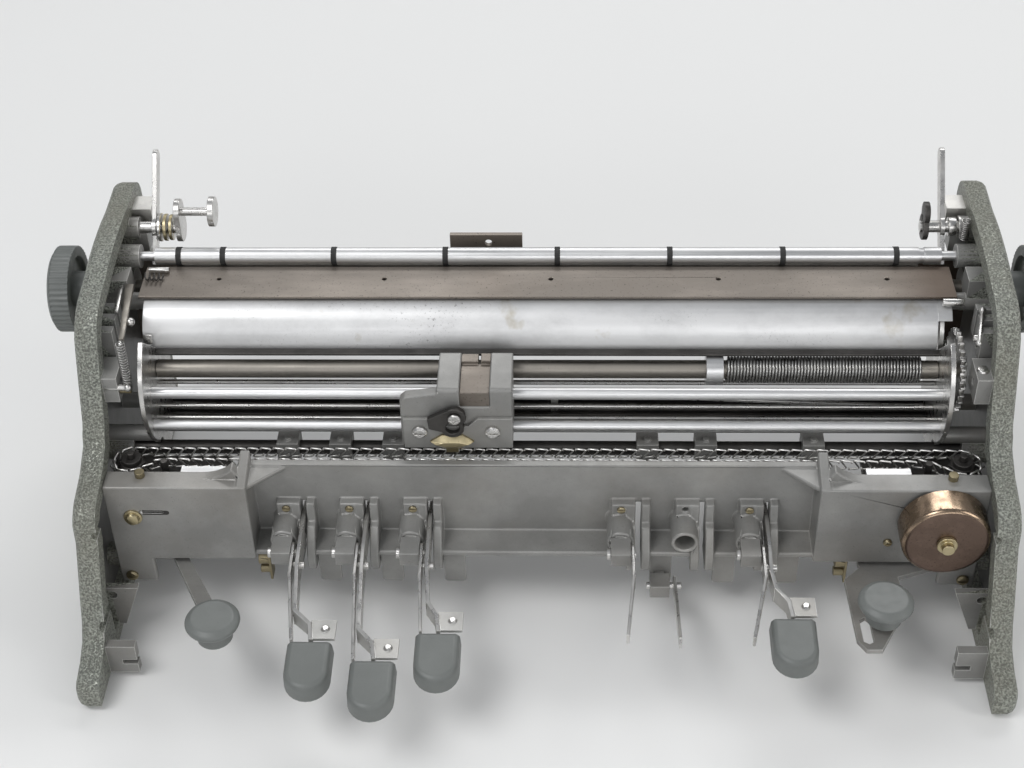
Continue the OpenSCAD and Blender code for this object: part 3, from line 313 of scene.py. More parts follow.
def guide_metal(c):
    """Polished sheet with cloudy stains, lines of pits and brown tarnish spots."""
    colour = tuple(c.aluminium)
    f = Finish("polished_guide", colour, 0.9, 0.42)
    f.tint(f.ramp(f.noise(26, stretch=(0.6, 1, 1), detail=7, rough=0.7), 0.44, 0.7, 0, 0.55),
           shade(colour, 0.55))
    f.tint(f.ramp(f.noise(60, stretch=(1, 1, 1), detail=4), 0.62, 0.72, 0, 0.5), (0.38, 0.33, 0.23))
    pits = f.ramp(f.noise(900, detail=4, rough=0.8), 0.60, 0.66)
    patch = f.ramp(f.noise(18, stretch=(0.5, 1, 1), detail=3), 0.50, 0.62)
    both = f.node("Math", operation="MULTIPLY")
    f.link(pits, both.inputs[0])
    f.link(patch, both.inputs[1])
    f.tint(both.outputs[0], shade(colour, 0.22))
    lines = f.noise(300, stretch=(0.02, 1, 1), detail=4)
    f.polish(f.ramp(lines, 0.35, 0.7), 0.55)
    f.raise_by(lines, 0.000016).raise_by(both.outputs[0], -0.00004)
    return f.done()


def stained_sheet(c):
    """Brown lacquered sheet, rubbed along its length, darker at its right end, with specks."""
    f = Finish("stained_sheet", c.sheet, 0.55, 0.44)
    cloud = f.noise(22, stretch=(0.3, 1, 1), detail=7, rough=0.65)
    f.tint(f.ramp(cloud, 0.42, 0.68), shade(c.sheet, 1.7))
    f.tint(f.ramp(f.noise(9, detail=4), 0.5, 0.7, 0, 0.5), (0.10, 0.072, 0.05))
    split = f.node("SeparateXYZ")
    f.link(f.coords, split.inputs[0])
    f.tint(f.ramp(split.outputs["X"], 0.136, 0.160, 0, 0.8), (0.075, 0.050, 0.034))
    f.tint(f.ramp(f.noise(1200, detail=3), 0.62, 0.70, 0, 0.8), shade(c.sheet, 0.35))
    # edges painted lighter, as wear and as a painted highlight
    f.tint(f.edges(0.0003), shade(c.sheet, 3.2))
    f.polish(f.ramp(cloud, 0.4, 0.7), 0.32)
    f.raise_by(f.noise(400, stretch=(0.05, 1, 1)), 0.000012)
    return f.done()


def blackened(c, name="dark_steel", colour=None, bright=3.5, metallic=0.8):
    """Dark metal with cloudy patches and edges painted brighter, as rubbing and as a painted
    highlight.
    """
    colour = tuple(colour or c.dark)
    f = Finish(name, colour, metallic, 0.42)
    f.tint(f.ramp(f.noise(70, detail=5), 0.4, 0.75), shade(colour, 1.8))
    # edges painted brighter, as rubbing and as a painted highlight
    f.tint(f.edges(0.0003), shade(colour, bright))
    f.polish(f.ramp(f.noise(300), 0.4, 0.7), 0.55)
    f.raise_by(f.noise(900), 0.00002)
    return f.done()


def gong_face_metal(c):
    """Dark brown lacquered face with a rubbed patch round the nut."""
    f = Finish("gong_face", tuple(c.gong), 0.9, 0.30)
    f.tint(f.ramp(f.noise(50, detail=6, rough=0.7), 0.45, 0.7, 0, 0.6), shade(c.gong, 1.9))
    f.tint(f.ramp(f.noise(1300, detail=3), 0.60, 0.70, 0, 0.7), shade(c.gong, 0.4))
    f.polish(f.ramp(f.noise(160, detail=4), 0.42, 0.66), 0.42)
    f.raise_by(f.noise(500, detail=3), 0.00001)
    return f.done()


def black_rubber():
    """Dull black rubber with grey bloom."""
    f = Finish("black_rubber", (0.02, 0.02, 0.02), 0.0, 0.7)
    f.tint(f.ramp(f.noise(500, detail=3), 0.5, 0.7, 0, 0.6), (0.05, 0.05, 0.048))
    f.raise_by(f.noise(1800), 0.00003)
    return f.done()


MATERIALS = {}


def make_materials(c):
    aged_brass = (0.33, 0.285, 0.185)
    MATERIALS.update(
        hammertone=hammered_paint(c),
        casting=casting_paint(c),
        # darker copy of the casting paint: painted shade for the recessed pocket walls
        dark_casting=casting_paint(c, "shaded_casting", 0.1, 0.45),
        plastic=moulded_plastic(c),
        steel=plated(c),
        chain=plated(c, "chain_wire", shade(c.nickel, 1.3), 0.28, stain=0.3),
        bright_aluminium=plated(c, "drawn_aluminium", c.aluminium, 0.32, (0.03, 1, 1), 0.22),
        guide=guide_metal(c),
        dark_steel=blackened(c),
        key_plate=casting_paint(c, "key_plate", 0.2, 1.5),
        brass=plated(c, "aged_brass", aged_brass, 0.34, stain=0.8),
        gilt=plated(c, "gilt_brass", (0.50, 0.43, 0.27), 0.30, stain=0.7),
        brown_sheet=stained_sheet(c),
        warm_tube=plated(c, "warm_tube", (0.30, 0.28, 0.25), 0.36, (0.05, 1, 1), 0.4),
        rubber=black_rubber(),
        bell_metal=plated(c, "gong_rim", (0.33, 0.245, 0.175), 0.2, stain=0.6),
        gong_face=gong_face_metal(c),
        machined=plated(c, "machined_casting", (0.62, 0.61, 0.585), 0.36, stain=0.55),
        # near-black finish for the thin sheet that paints the shade inside the left block's slot
        slot_dark=blackened(c, "slot_dark", (0.020, 0.018, 0.016), 1.0, metallic=0.0),
        spring=plated(c, "spring_wire", shade(c.nickel, 0.6), 0.25, stain=0.3),
    )


# ---------------------------------------------------------------- mesh helpers
def paint_faces(mesh, finish, regions):
    """One finish over the mesh, and others on faces whose centre and normal pass a test."""
    mesh.materials.clear()
    mesh.materials.append(MATERIALS[finish])
    for name, test in regions:
        mesh.materials.append(MATERIALS[name])
        for face in mesh.polygons:
            if test(face.center, face.normal):
                face.material_index = len(mesh.materials) - 1


def new_piece(name, mesh, body, finish=None, replaces=()):
    """Puts a finished mesh into the scene as a piece that rides on a body."""
    obj = bpy.data.objects.new(name, mesh)
    bpy.context.scene.collection.objects.link(obj)
    if finish is not None:
        mesh.materials.clear()
        mesh.materials.append(MATERIALS[finish])
    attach(obj, body)
    if replaces:
        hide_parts(*replaces)
    return obj


def smooth_by_angle(mesh, degrees):
    """Smooth shading with edges sharper than `degrees` left sharp."""
    bm = bmesh.new()
    bm.from_mesh(mesh)
    limit = math.radians(degrees)
    for face in bm.faces:
        face.smooth = True
    for edge in bm.edges:
        if len(edge.link_faces) == 2:
            edge.smooth = edge.calc_face_angle(0.0) < limit
        else:
            edge.smooth = False
    bm.to_mesh(mesh)
    bm.free()


def flattened(obj):
    """The object's evaluated mesh, with its modifiers and instances made real."""
    bpy.context.view_layer.update()
    graph = bpy.context.evaluated_depsgraph_get()
    mesh = bpy.data.meshes.new_from_object(
        obj.evaluated_get(graph), preserve_all_data_layers=True, depsgraph=graph
    )
    bpy.data.objects.remove(obj)
    return mesh


def soften(
    node, finish=None, width=0.0, angle=35, smooth=SMOOTH_DEGREES, regions=(), join_flats=True
):
    """A copy of a CAD node with merged points, rounded edges, smooth curves and its finishes."""
    mesh = frame["nodes"][node].data.copy()
    bm = bmesh.new()
    bm.from_mesh(mesh)
    bmesh.ops.remove_doubles(bm, verts=bm.verts, dist=MERGE_DISTANCE)
    if join_flats:
        bmesh.ops.dissolve_limit(
            bm, angle_limit=math.radians(FLAT_DEGREES), verts=bm.verts, edges=bm.edges,
            use_dissolve_boundaries=False,
        )
    bm.to_mesh(mesh)
    bm.free()
    smooth_by_angle(mesh, smooth)
    obj = bpy.data.objects.new("tmp", mesh)
    bpy.context.scene.collection.objects.link(obj)
    if width > 0:
        bevel = obj.modifiers.new("edges", "BEVEL")
        bevel.limit_method = "ANGLE"
        bevel.angle_limit = math.radians(angle)
        bevel.width = width
        bevel.segments = BEVEL_STEPS
        bevel.use_clamp_overlap = False
        bevel.miter_outer = "MITER_ARC"
    flat = obj.modifiers.new("flat_faces", "WEIGHTED_NORMAL")
    flat.weight = 80
    flat.keep_sharp = True
    mesh = flattened(obj)
    slot = node_slot(node)
    paint_faces(mesh, finish or slot, regions)
    return new_piece(node + "_shown", mesh, node_body(node), replaces=(node,))


# ---------------------------------------------------------------- geometry node helpers
class Tree:
    """Builds a geometry node group with named inputs."""

    def __init__(self, name):
        self.group = bpy.data.node_groups.new(name, "GeometryNodeTree")
        for way in ("OUTPUT", "INPUT"):
            self.group.interface.new_socket(
                "Geometry", in_out=way, socket_type="NodeSocketGeometry"
            )
        self.start = self.group.nodes.new("NodeGroupInput")
        self.end = self.group.nodes.new("NodeGroupOutput")

    def value(self, name, kind="Float", default=0.0):
        socket = self.group.interface.new_socket(
            name, in_out="INPUT", socket_type="NodeSocket" + kind
        )
        socket.default_value = default
        return self.start.outputs[name]

    def node(self, kind, **links):
        n = self.group.nodes.new(kind)
        for key, value in links.items():
            self.feed(n, key.replace("_", " "), value)
        return n

    def feed(self, n, socket, value):
        target = n.inputs[socket]
        if isinstance(value, bpy.types.NodeSocket):
            self.group.links.new(value, target)
        else:
            target.default_value = value

    def finish(self, geometry, material):
        """Realize Instances, Set Material, then out."""
        real = self.node("GeometryNodeRealizeInstances", Geometry=geometry)
        paint = self.node("GeometryNodeSetMaterial", Geometry=real.outputs[0])
        paint.inputs["Material"].default_value = material
        self.group.links.new(paint.outputs[0], self.end.inputs[0])
        return self.group


def run_tree(group, mesh=None, **inputs):
    """Evaluates a geometry node group on a mesh and returns the plain result."""
    mesh = mesh or bpy.data.meshes.new("seed")
    obj = bpy.data.objects.new("tmp", mesh)
    bpy.context.scene.collection.objects.link(obj)
    modifier = obj.modifiers.new("nodes", "NODES")
    modifier.node_group = group
    for item in group.interface.items_tree:
        key = getattr(item, "name", None)
        if item.in_out == "INPUT" and key in inputs:
            modifier[item.identifier] = inputs[key]
    return flattened(obj)


def coil_tree(material):
    """A wound spring along +Z: Turns, Radius, Height, Wire."""
    t = Tree("coil")
    turns = t.value("Turns", default=10.0)
    radius = t.value("Radius", default=0.005)
    height = t.value("Height", default=0.05)
    wire = t.value("Wire", default=0.001)
    spiral = t.node(
        "GeometryNodeCurveSpiral", Resolution=26, Rotations=turns, Start_Radius=radius,
        End_Radius=radius, Height=height,
    )
    ring = t.node("GeometryNodeCurvePrimitiveCircle", Resolution=8, Radius=wire)
    tube = t.node(
        "GeometryNodeCurveToMesh", Curve=spiral.outputs[0], Profile_Curve=ring.outputs[0],
        Fill_Caps=True,
    )
    smooth = t.node("GeometryNodeSetShadeSmooth", Geometry=tube.outputs[0])
    return t.finish(smooth.outputs[0], material)


def coil(name, node, turns, radius, height, wire, place, finish="steel"):
    """One spring in place of its CAD form; place turns its +Z axis onto the real one."""
    mesh = run_tree(
        coil_tree(MATERIALS[finish]), Turns=float(turns), Radius=radius, Height=height,
        Wire=wire / 2,
    )
    mesh.transform(place)
    return new_piece(name, mesh, node_body(node), replaces=(node,))


def placed(x, y, z, axis="Z"):
    """Matrix that lays +Z along an axis at a point."""
    turns = {
        "Z": Matrix.Identity(4),
        "X": Matrix.Rotation(math.pi / 2, 4, "Y"),
        "-X": Matrix.Rotation(-math.pi / 2, 4, "Y"),
    }
    return Matrix.Translation((x, y, z)) @ turns[axis]


# ---------------------------------------------------------------- stage
CAMERA_PLACE = (11.7, -525.9, 548.0)     # millimetres
CAMERA_AZIMUTH = 2.6                     # degrees, as are the next two
CAMERA_ELEVATION = 40.0
CAMERA_ROLL = -1.55
FOCAL_PX = 1750.0
PHOTO_WIDTH_PX = 1024.0


def camera_matrix():
    """Place and turn of the camera that was fitted to the photograph."""
    a, e = math.radians(CAMERA_AZIMUTH), math.radians(CAMERA_ELEVATION)
    ahead = Vector((-math.sin(a) * math.cos(e), math.cos(a) * math.cos(e), -math.sin(e)))
    right = Vector((math.cos(a), math.sin(a), 0))
    up = right.cross(ahead)
    r = math.radians(CAMERA_ROLL)
    right, up = (math.cos(r) * right + math.sin(r) * up, math.cos(r) * up - math.sin(r) * right)
    m = Matrix((right, up, -ahead)).transposed().to_4x4()
    m.translation = Vector(CAMERA_PLACE) * MM
    return m


# name, place, target, size, power and, where it isn't white, colour
LAMPS = (
    ("key_light", (-0.7, -0.5, 1.5), (0, 0, 0.05), (0.9, 0.6), 11),
    ("front_fill", (0.1, -1.5, 0.75), (0, 0, 0.07), (1.8, 0.5), 7),
    ("rear_light", (0.25, 1.1, 1.25), (0, 0, 0.06), (1.6, 0.25), 10),
    ("side_light", (1.3, -0.6, 0.8), (0, 0, 0.05), (0.5, 0.9), 5, (1, 0.98, 0.95)),
)
SKY_COLOUR = (0.92, 0.95, 1.0, 1)
SKY_STRENGTH = 0.34
FLOOR_COLOUR = (0.80, 0.80, 0.79)
FLOOR_TINT = (0.77, 0.77, 0.765)
FLOOR_HALF_WIDTH = 3.0
FLOOR_FRONT, FLOOR_BACK = -2.5, 2.2
FLOOR_TOP = 2.5                          # height that its bent-up rear reaches
FLOOR_BEND = 0.8
FLOOR_BEND_STEPS = 12


def area_light(name, place, target, size, power, colour=(1, 1, 1)):
    light = bpy.data.lights.new(name, "AREA")
    light.shape = "RECTANGLE"
    light.size, light.size_y = size
    light.energy = power
    light.color = colour
    obj = bpy.data.objects.new(name, light)
    bpy.context.scene.collection.objects.link(obj)
    obj.location = place
    obj.rotation_euler = (Vector(target) - Vector(place)).to_track_quat("-Z", "Y").to_euler()


def floor_mesh():
    """Level floor that bends up into a wall behind the machine."""
    profile = [(FLOOR_FRONT, 0.0)]
    for i in range(FLOOR_BEND_STEPS + 1):
        t = math.radians(i * 90 / FLOOR_BEND_STEPS)
        out, up = FLOOR_BEND * math.sin(t), FLOOR_BEND * math.cos(t)
        profile.append((FLOOR_BACK - FLOOR_BEND + out, FLOOR_BEND - up))
    profile.append((FLOOR_BACK, FLOOR_TOP))
    bm = bmesh.new()
    across = (-FLOOR_HALF_WIDTH, FLOOR_HALF_WIDTH)
    rows = [[bm.verts.new((x, y, z)) for x in across] for y, z in profile]
    for a, b in zip(rows, rows[1:]):
        bm.faces.new((a[0], a[1], b[1], b[0]))
    mesh = bpy.data.meshes.new("floor")
    bm.to_mesh(mesh)
    bm.free()
    mesh.shade_smooth()
    return mesh


class WRITER_OT_stage(bpy.types.Operator):
    """Pale floor, soft light and the camera at the photograph's angle"""

    bl_idname = "writer.stage"
    bl_label = "Stage"

    def execute(self, context):
        scene = context.scene
        scene.view_settings.view_transform = "Standard"
        camera = bpy.data.cameras.new("photo_camera")
        camera.sensor_width = 36.0
        camera.lens = FOCAL_PX / PHOTO_WIDTH_PX * camera.sensor_width
        camera.clip_end = 20
        obj = bpy.data.objects.new("photo_camera", camera)
        scene.collection.objects.link(obj)
        obj.matrix_world = camera_matrix()
        scene.camera = obj

        mesh = floor_mesh()
        floor = bpy.data.objects.new("floor", mesh)
        scene.collection.objects.link(floor)
        paint = Finish("floor_paint", FLOOR_COLOUR, 0.0, 0.75)
        paint.tint(paint.ramp(paint.noise(3), 0.3, 0.7, 0, 0.3), FLOOR_TINT)
        mesh.materials.append(paint.done())

        world = bpy.data.worlds.new("studio")
        scene.world = world
        world.use_nodes = True
        sky = world.node_tree.nodes["Background"]
        sky.inputs["Color"].default_value = SKY_COLOUR
        sky.inputs["Strength"].default_value = SKY_STRENGTH
        for lamp in LAMPS:
            area_light(*lamp)
        return {"FINISHED"}


# ---------------------------------------------------------------- operators for the pieces
POCKET_DEPTH = 6 * MM                            # side frame's rim to its outer wall
REAR_LUG_FRONT = 87.9 * MM
REAR_LUG_HEIGHTS = (121.9 * MM, 129.1 * MM)
RELEASE_SHAFT = Vector((82, 124)) * MM           # [y, z] of the paper-release shaft
WASHERS_ALONG = (156 * MM, 163 * MM)
WASHER_RADII = (2.6 * MM, 6.2 * MM)


class WRITER_OT_castings(bpy.types.Operator):
    """Side frames, front casting and the other cast pieces, with rounded edges"""

    bl_idname = "writer.castings"
    bl_label = "Castings"

    def execute(self, context):
        edge = context.scene.writer_sizes.edge
        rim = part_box("chain_shelf")[1][0]
        wall = rim + POCKET_DEPTH

        def inward(at, normal):
            on_rim = abs(abs(at.x) - rim) < TEST_SLACK and abs(normal.x) < 0.5
            return abs(at.x) < rim - TEST_SLACK or on_rim

        def pocket(at, normal):
            return abs(abs(at.x) - wall) < TEST_SLACK and normal.x * at.x < 0

        def rear_lug(at, normal):
            return (abs(at.x) < rim - TEST_SLACK and at.y > REAR_LUG_FRONT
                    and REAR_LUG_HEIGHTS[0] < at.z < REAR_LUG_HEIGHTS[1])

        # the side frames' pocket walls take a darker copy of the casting paint as painted shade
        for node in ("left_side_frame", "right_side_frame"):
            soften(node, smooth=50, join_flats=False,
                   regions=(("casting", inward), ("dark_casting", pocket), ("machined", rear_lug)))
        soften("front_frame", width=edge)
        soften("lever_tabs", width=edge * 0.4)
        soften("pivot_blocks", width=edge * 0.5)
        soften("shaft_clamps", width=edge * 0.5)
        soften("rubber_feet", width=edge * 0.5)
        return {"FINISHED"}


class WRITER_OT_carriage(bpy.types.Operator):
    """Carriage with its plate, latch, clamp and stylus block"""

    bl_idname = "writer.carriage"
    bl_label = "Carriage"

    def execute(self, context):
        edge = context.scene.writer_sizes.edge
        soften("carriage_body", width=edge)
        soften("carriage_plate", width=edge * 0.4)
        soften("carriage_lever", width=edge * 0.5)
        soften("chain_clamp", "gilt", width=edge * 0.3)
        soften("stylus_block", width=edge * 0.5)
        soften("carriage_screws", width=edge * 0.2)
        return {"FINISHED"}


class WRITER_OT_rods(bpy.types.Operator):
    """Rods, shafts, tubes and the plates that hold them"""

    bl_idname = "writer.rods"
    bl_label = "Rods and shafts"

    def execute(self, context):
        fine = context.scene.writer_sizes.sheet_edge
        for node in (
            "front_carriage_rod", "rear_carriage_rod", "thin_rods", "cross_shaft", "spring_tube",
        ):
            soften(node)
        for node in (
            "left_end_plate", "right_end_plate", "flat_rail", "dot_bars", "tube_collar",
            "tube_gear", "left_sprocket", "right_sprocket", "chain_shelf", "chain_guards",
            "stop_pins",
        ):
            soften(node, width=fine)
        soften("frame_screws", width=fine * 0.7)
        return {"FINISHED"}


class WRITER_OT_paper(bpy.types.Operator):
    """Paper drum, feed roller with its rubber rings, table, guide and rear plate"""

    bl_idname = "writer.paper"
    bl_label = "Paper path"

    def execute(self, context):
        fine = context.scene.writer_sizes.sheet_edge
        soften("paper_guide", finish="guide", width=fine)
        soften("paper_table", width=fine)
        soften("rear_plate", width=fine)
        soften("paper_drum", width=fine)
        soften("feed_roller")
        soften("roller_rings")
        soften("left_knob", width=fine * 1.5)
        soften("right_knob", width=fine * 1.5)

        def washer(at, normal):
            out = (at.yz - RELEASE_SHAFT).length
            return (WASHERS_ALONG[0] < abs(at.x) < WASHERS_ALONG[1]
                    and WASHER_RADII[0] < out < WASHER_RADII[1])

        soften("left_release_lever", width=fine, regions=(("gilt", washer),))
        soften("right_release_lever", width=fine)
        return {"FINISHED"}


CHAIN_PITCH = 5.15 * MM
CHAIN_WIDTH = 5 * MM
STRAND_GAP = 6 * MM
GUIDE_INSET = 13 * MM
CHAIN_LINE_INSET = 0.6 * MM      # CAD chain's outer edge to the links' middle line
CHAIN_TURN_STEPS = 16


def centre(node):
    """Middle of a CAD node's box."""
    low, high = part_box(node)
    return (Vector(low) + Vector(high)) / 2


def chain_path():
    """Middle line of the chain in plan, one closed run of points in metres."""
    at = centre("right_sprocket")
    sx, cy = at.x, at.y
    radius = (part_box("ladder_chain")[1][0] - sx) - CHAIN_LINE_INSET
    front, gx = cy + radius - STRAND_GAP, sx - GUIDE_INSET
    dx, dy = gx - sx, front - cy
    away = math.atan2(dy, dx) + math.acos(radius / math.hypot(dx, dy))
    sweep = math.pi / 2 - (away - 2 * math.pi)
    n = CHAIN_TURN_STEPS
    right_turn = [math.pi / 2 - i * sweep / n for i in range(n + 1)]
    points = []
    for a in right_turn:
        points.append((sx + radius * math.cos(a), cy + radius * math.sin(a)))
    points.append((gx, front))
    points.append((-gx, front))
    for a in reversed(right_turn):
        points.append((-sx - radius * math.cos(a), cy + radius * math.sin(a)))
    return points


def link_mesh(wire):
    """One wire link: an upper and a lower rail joined by a slanting bar, with hooked ends."""
    half, pitch = CHAIN_WIDTH / 2 - wire / 2, CHAIN_PITCH
    out = wire * 0.55
    path = [
        (-pitch * 0.10, out, half * 0.62), (-pitch * 0.02, out, half), (pitch * 0.66, 0, half),
        (pitch * 0.74, -out * 0.4, half * 0.82), (pitch * 0.30, -out * 0.4, -half * 0.82),
        (pitch * 0.36, 0, -half), (pitch * 1.04, out, -half), (pitch * 1.12, out, -half * 0.62),
    ]
    return tube_mesh("link", path, wire / 2, 6)


def tube_mesh(name, points, radius, sides=8):
    """A tube round a run of points, with closed ends."""
    curve = bpy.data.curves.new(name, "CURVE")
    curve.dimensions = "3D"
    curve.bevel_depth = radius
    curve.bevel_resolution = max(0, (sides - 4) // 2)
    curve.use_fill_caps = True
    spline = curve.splines.new("POLY")
    spline.points.add(len(points) - 1)
    for p, q in zip(spline.points, points):
        p.co = (*q, 1)
    obj = bpy.data.objects.new(name, curve)
    bpy.context.scene.collection.objects.link(obj)
    mesh = flattened(obj)
    bpy.data.curves.remove(curve)
    mesh.shade_smooth()
    return mesh


def chain_tree(link, material, count):
    """Sets a link on evenly spaced points of the input path, facing along it."""
    t = Tree("ladder_chain")
    number = t.value("Links", "Int", count)
    curve = t.node("GeometryNodeMeshToCurve", Mesh=t.start.outputs["Geometry"])
    spots = t.node("GeometryNodeResampleCurve", Curve=curve.outputs[0], Count=number)
    points = t.node("GeometryNodeCurveToPoints", Curve=spots.outputs[0])
    points.mode = "EVALUATED"
    tangent = t.node("GeometryNodeInputTangent")
    store = t.node("GeometryNodeCaptureAttribute", Geometry=spots.outputs[0])
    store.capture_items.new("VECTOR", "Along")
    t.feed(store, "Along", tangent.outputs[0])
    t.feed(points, "Curve", store.outputs[0])
    face = t.node("FunctionNodeAlignRotationToVector", Vector=store.outputs["Along"])
    face.axis = "X"
    face.pivot_axis = "Z"
    source = t.node("GeometryNodeObjectInfo")
    source.inputs["Object"].default_value = link
    made = t.node(
        "GeometryNodeInstanceOnPoints", Points=points.outputs[0],
        Instance=source.outputs["Geometry"], Rotation=face.outputs[0],
    )
    return t.finish(made.outputs[0], material)


class WRITER_OT_chain(bpy.types.Operator):
    """Endless ladder chain of bent wire links round its two sprockets"""

    bl_idname = "writer.chain"
    bl_label = "Ladder chain"

    def execute(self, context):
        wire = context.scene.writer_sizes.chain_wire
        path = chain_path()
        length = sum(math.dist(a, b) for a, b in zip(path, path[1:] + path[:1]))
        count = round(length / CHAIN_PITCH)
        mesh = bpy.data.meshes.new("chain_path")
        loop = [(i, (i + 1) % len(path)) for i in range(len(path))]
        mesh.from_pydata([(x, y, centre("ladder_chain").z) for x, y in path], loop, [])
        link = bpy.data.objects.new("link", link_mesh(wire))
        context.scene.collection.objects.link(link)
        result = run_tree(chain_tree(link, MATERIALS["chain"], count), mesh, Links=count)
        bpy.data.objects.remove(link)
        new_piece("ladder_chain_links", result, "chassis", replaces=("ladder_chain",))
        return {"FINISHED"}


LONG_SPRING_RADIUS = 4.95 * MM
SMALL_SPRINGS = (("tension_spring", 17), ("lever_spring", 10))     # node and turns
SMALL_SPRING_RADIUS = 1.7 * MM
SMALL_SPRING_WIRE = 0.6 * MM
BUTTON_SPRING = {"Turns": 6.0, "Radius": 3.4 * MM, "Height": 5.6 * MM, "Wire": 0.32 * MM}


class WRITER_OT_springs(bpy.types.Operator):
    """The long spring on its tube and the small coil springs"""

    bl_idname = "writer.springs"
    bl_label = "Springs"

    def execute(self, context):
        sizes = context.scene.writer_sizes
        low, high = (Vector(corner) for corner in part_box("long_spring"))
        at = centre("long_spring")
        wire = sizes.spring_wire
        coil("long_spring_coil", "long_spring", sizes.spring_turns, LONG_SPRING_RADIUS,
             high.x - low.x - wire, wire, placed(low.x + wire / 2, at.y, at.z, "X"), "spring")
        for node, turns in SMALL_SPRINGS:
            low, high = (Vector(corner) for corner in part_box(node))
            at = centre(node)
            wire = SMALL_SPRING_WIRE
            coil(node + "_coil", node, turns, SMALL_SPRING_RADIUS, high.z - low.z - wire, wire,
                 placed(at.x, at.y, low.z + wire / 2), "spring")
        mesh = bpy.data.meshes.new("button_springs")
        bm = bmesh.new()
        tree = coil_tree(MATERIALS["steel"])
        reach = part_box("button_springs")[1][0]
        at = centre("button_springs")
        for x, axis in ((reach, "-X"), (-reach, "X")):
            part = run_tree(tree, **BUTTON_SPRING)
            part.transform(placed(x, at.y, at.z, axis))
            bm.from_mesh(part)
        bm.to_mesh(mesh)
        bm.free()
        mesh.materials.append(MATERIALS["steel"])
        new_piece("button_spring_coils", mesh, "chassis", replaces=("button_springs",))
        return {"FINISHED"}


BRACKET_DEPTH = 11 * MM      # flat bracket behind a key cap
BRACKET_TOP = 39.2 * MM
BUTTON_HEAD = 12.5 * MM      # a round button's plastic, from its top down


class WRITER_OT_keys(bpy.types.Operator):
    """Key levers, caps and pins"""

    bl_idname = "writer.keys"
    bl_label = "Keys"

    def execute(self, context):
        fine = context.scene.writer_sizes.sheet_edge
        for i in (1, 2, 3, 6):
            bracket_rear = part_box(f"key_cap_{i}")[1][1] + BRACKET_DEPTH

            def bracket(at, normal):
                return at.y < bracket_rear and at.z < BRACKET_TOP

            soften(f"key_lever_{i}", width=fine, regions=(("key_plate", bracket),))
            soften(f"key_cap_{i}", width=fine * 2, angle=25, smooth=60)
        soften("upper_space_lever", width=fine)
        soften("lower_space_lever", width=fine)
        soften("pivot_pins", width=fine)
        return {"FINISHED"}


class WRITER_OT_buttons(bpy.types.Operator):
    """The two round buttons on their arms"""

    bl_idname = "writer.buttons"
    bl_label = "Round buttons"

    def execute(self, context):
        fine = context.scene.writer_sizes.sheet_edge
        for node in ("line_space_key", "back_space_key"):
            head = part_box(node)[1][2] - BUTTON_HEAD
            soften(node, width=fine, regions=(("plastic", lambda at, normal: at.z > head),))
        return {"FINISHED"}


def ball(bm, at, radius):
    """Adds a small sphere to a mesh in the making."""
    bmesh.ops.create_uvsphere(
        bm, u_segments=16, v_segments=10, radius=radius, matrix=Matrix.Translation(at)
    )


def rod(bm, a, b, radius, end_radius, sides=20):
    """Adds a round bar, or a taper, from a to b."""
    turn = (b - a).to_track_quat("Z", "Y").to_matrix().to_4x4()
    bmesh.ops.create_cone(
        bm, cap_ends=True, segments=sides, radius1=radius, radius2=end_radius,
        depth=(b - a).length, matrix=Matrix.Translation((a + b) / 2) @ turn
    )


def strip(bm, a, b, wide, end_wide, thick):
    """Adds a flat bar from a to b that lies level across its run."""
    across = (b - a).cross(Vector((0, 0, 1))).normalized()
    up = across.cross(b - a).normalized() * thick / 2
    rings = []
    for at, half in ((a, wide / 2), (b, end_wide / 2)):
        side = across * half
        rings.append([bm.verts.new(at + v) for v in (side + up, up - side, -side - up, side - up)])
    for i in range(4):
        j = (i + 1) % 4
        bm.faces.new((rings[0][i], rings[0][j], rings[1][j], rings[1][i]))
    bm.faces.new(rings[0][::-1])
    bm.faces.new(rings[1])


def detail(name, build, slot, body, finish, width=0.0):
    """A small extra piece from a function that fills a bmesh; width rounds its edges."""
    bm = bmesh.new()
    build(bm)
    bmesh.ops.recalc_face_normals(bm, faces=bm.faces)
    mesh = bpy.data.meshes.new(name)
    bm.to_mesh(mesh)
    bm.free()
    if width > 0:
        obj = bpy.data.objects.new("tmp", mesh)
        bpy.context.scene.collection.objects.link(obj)
        bevel = obj.modifiers.new("edges", "BEVEL")
        bevel.limit_method = "ANGLE"
        bevel.width = width
        bevel.segments = BEVEL_STEPS
        mesh = flattened(obj)
    smooth_by_angle(mesh, SMOOTH_DEGREES)
    return new_piece(name, mesh, body, finish)


# Rows of END_LEVERS and END_FITTINGS: name, body, finish, edge radius in sheet edges, then forms
# in millimetres. A rod has two ends, a radius at each and its number of sides if that isn't 20;
# a strip has two ends, a width at each and its thickness; a ball has its middle and its radius.
END_LEVERS = (
    ("left_slanted_lever", "chassis", "warm_tube", 1, (
        ("strip", (-170.9, 48, 118.6), (-166.9, 10.5, 119.4), 3.4, 1.8, 1.6),
    )),
    ("left_outer_strip", "chassis", "steel", 1, (
        ("strip", (-174.4, 48, 118.2), (-173.0, 30, 118.6), 1.6, 1.6, 1.4),
    )),
    ("left_balls", "chassis", "steel", 0, (
        ("ball", (-165.9, 23.5, 118.6), 1.8),
        ("ball", (-166.6, 7.4, 120.0), 1.1),
        ("ball", (-166.4, 5.2, 99.6), 1.7),
        ("rod", (-169.5, 23.5, 118.6), (-165.5, 23.5, 118.6), 1.0, 1.0),
    )),
    ("left_pins", "chassis", "steel", 1, (
        ("rod", (-165.5, 60.5, 117.3), (-157.0, 60.5, 117.3), 1.1, 1.1),
        ("rod", (-176.0, 5.2, 99.6), (-167.0, 5.2, 99.6), 1.3, 1.3),
    )),
)
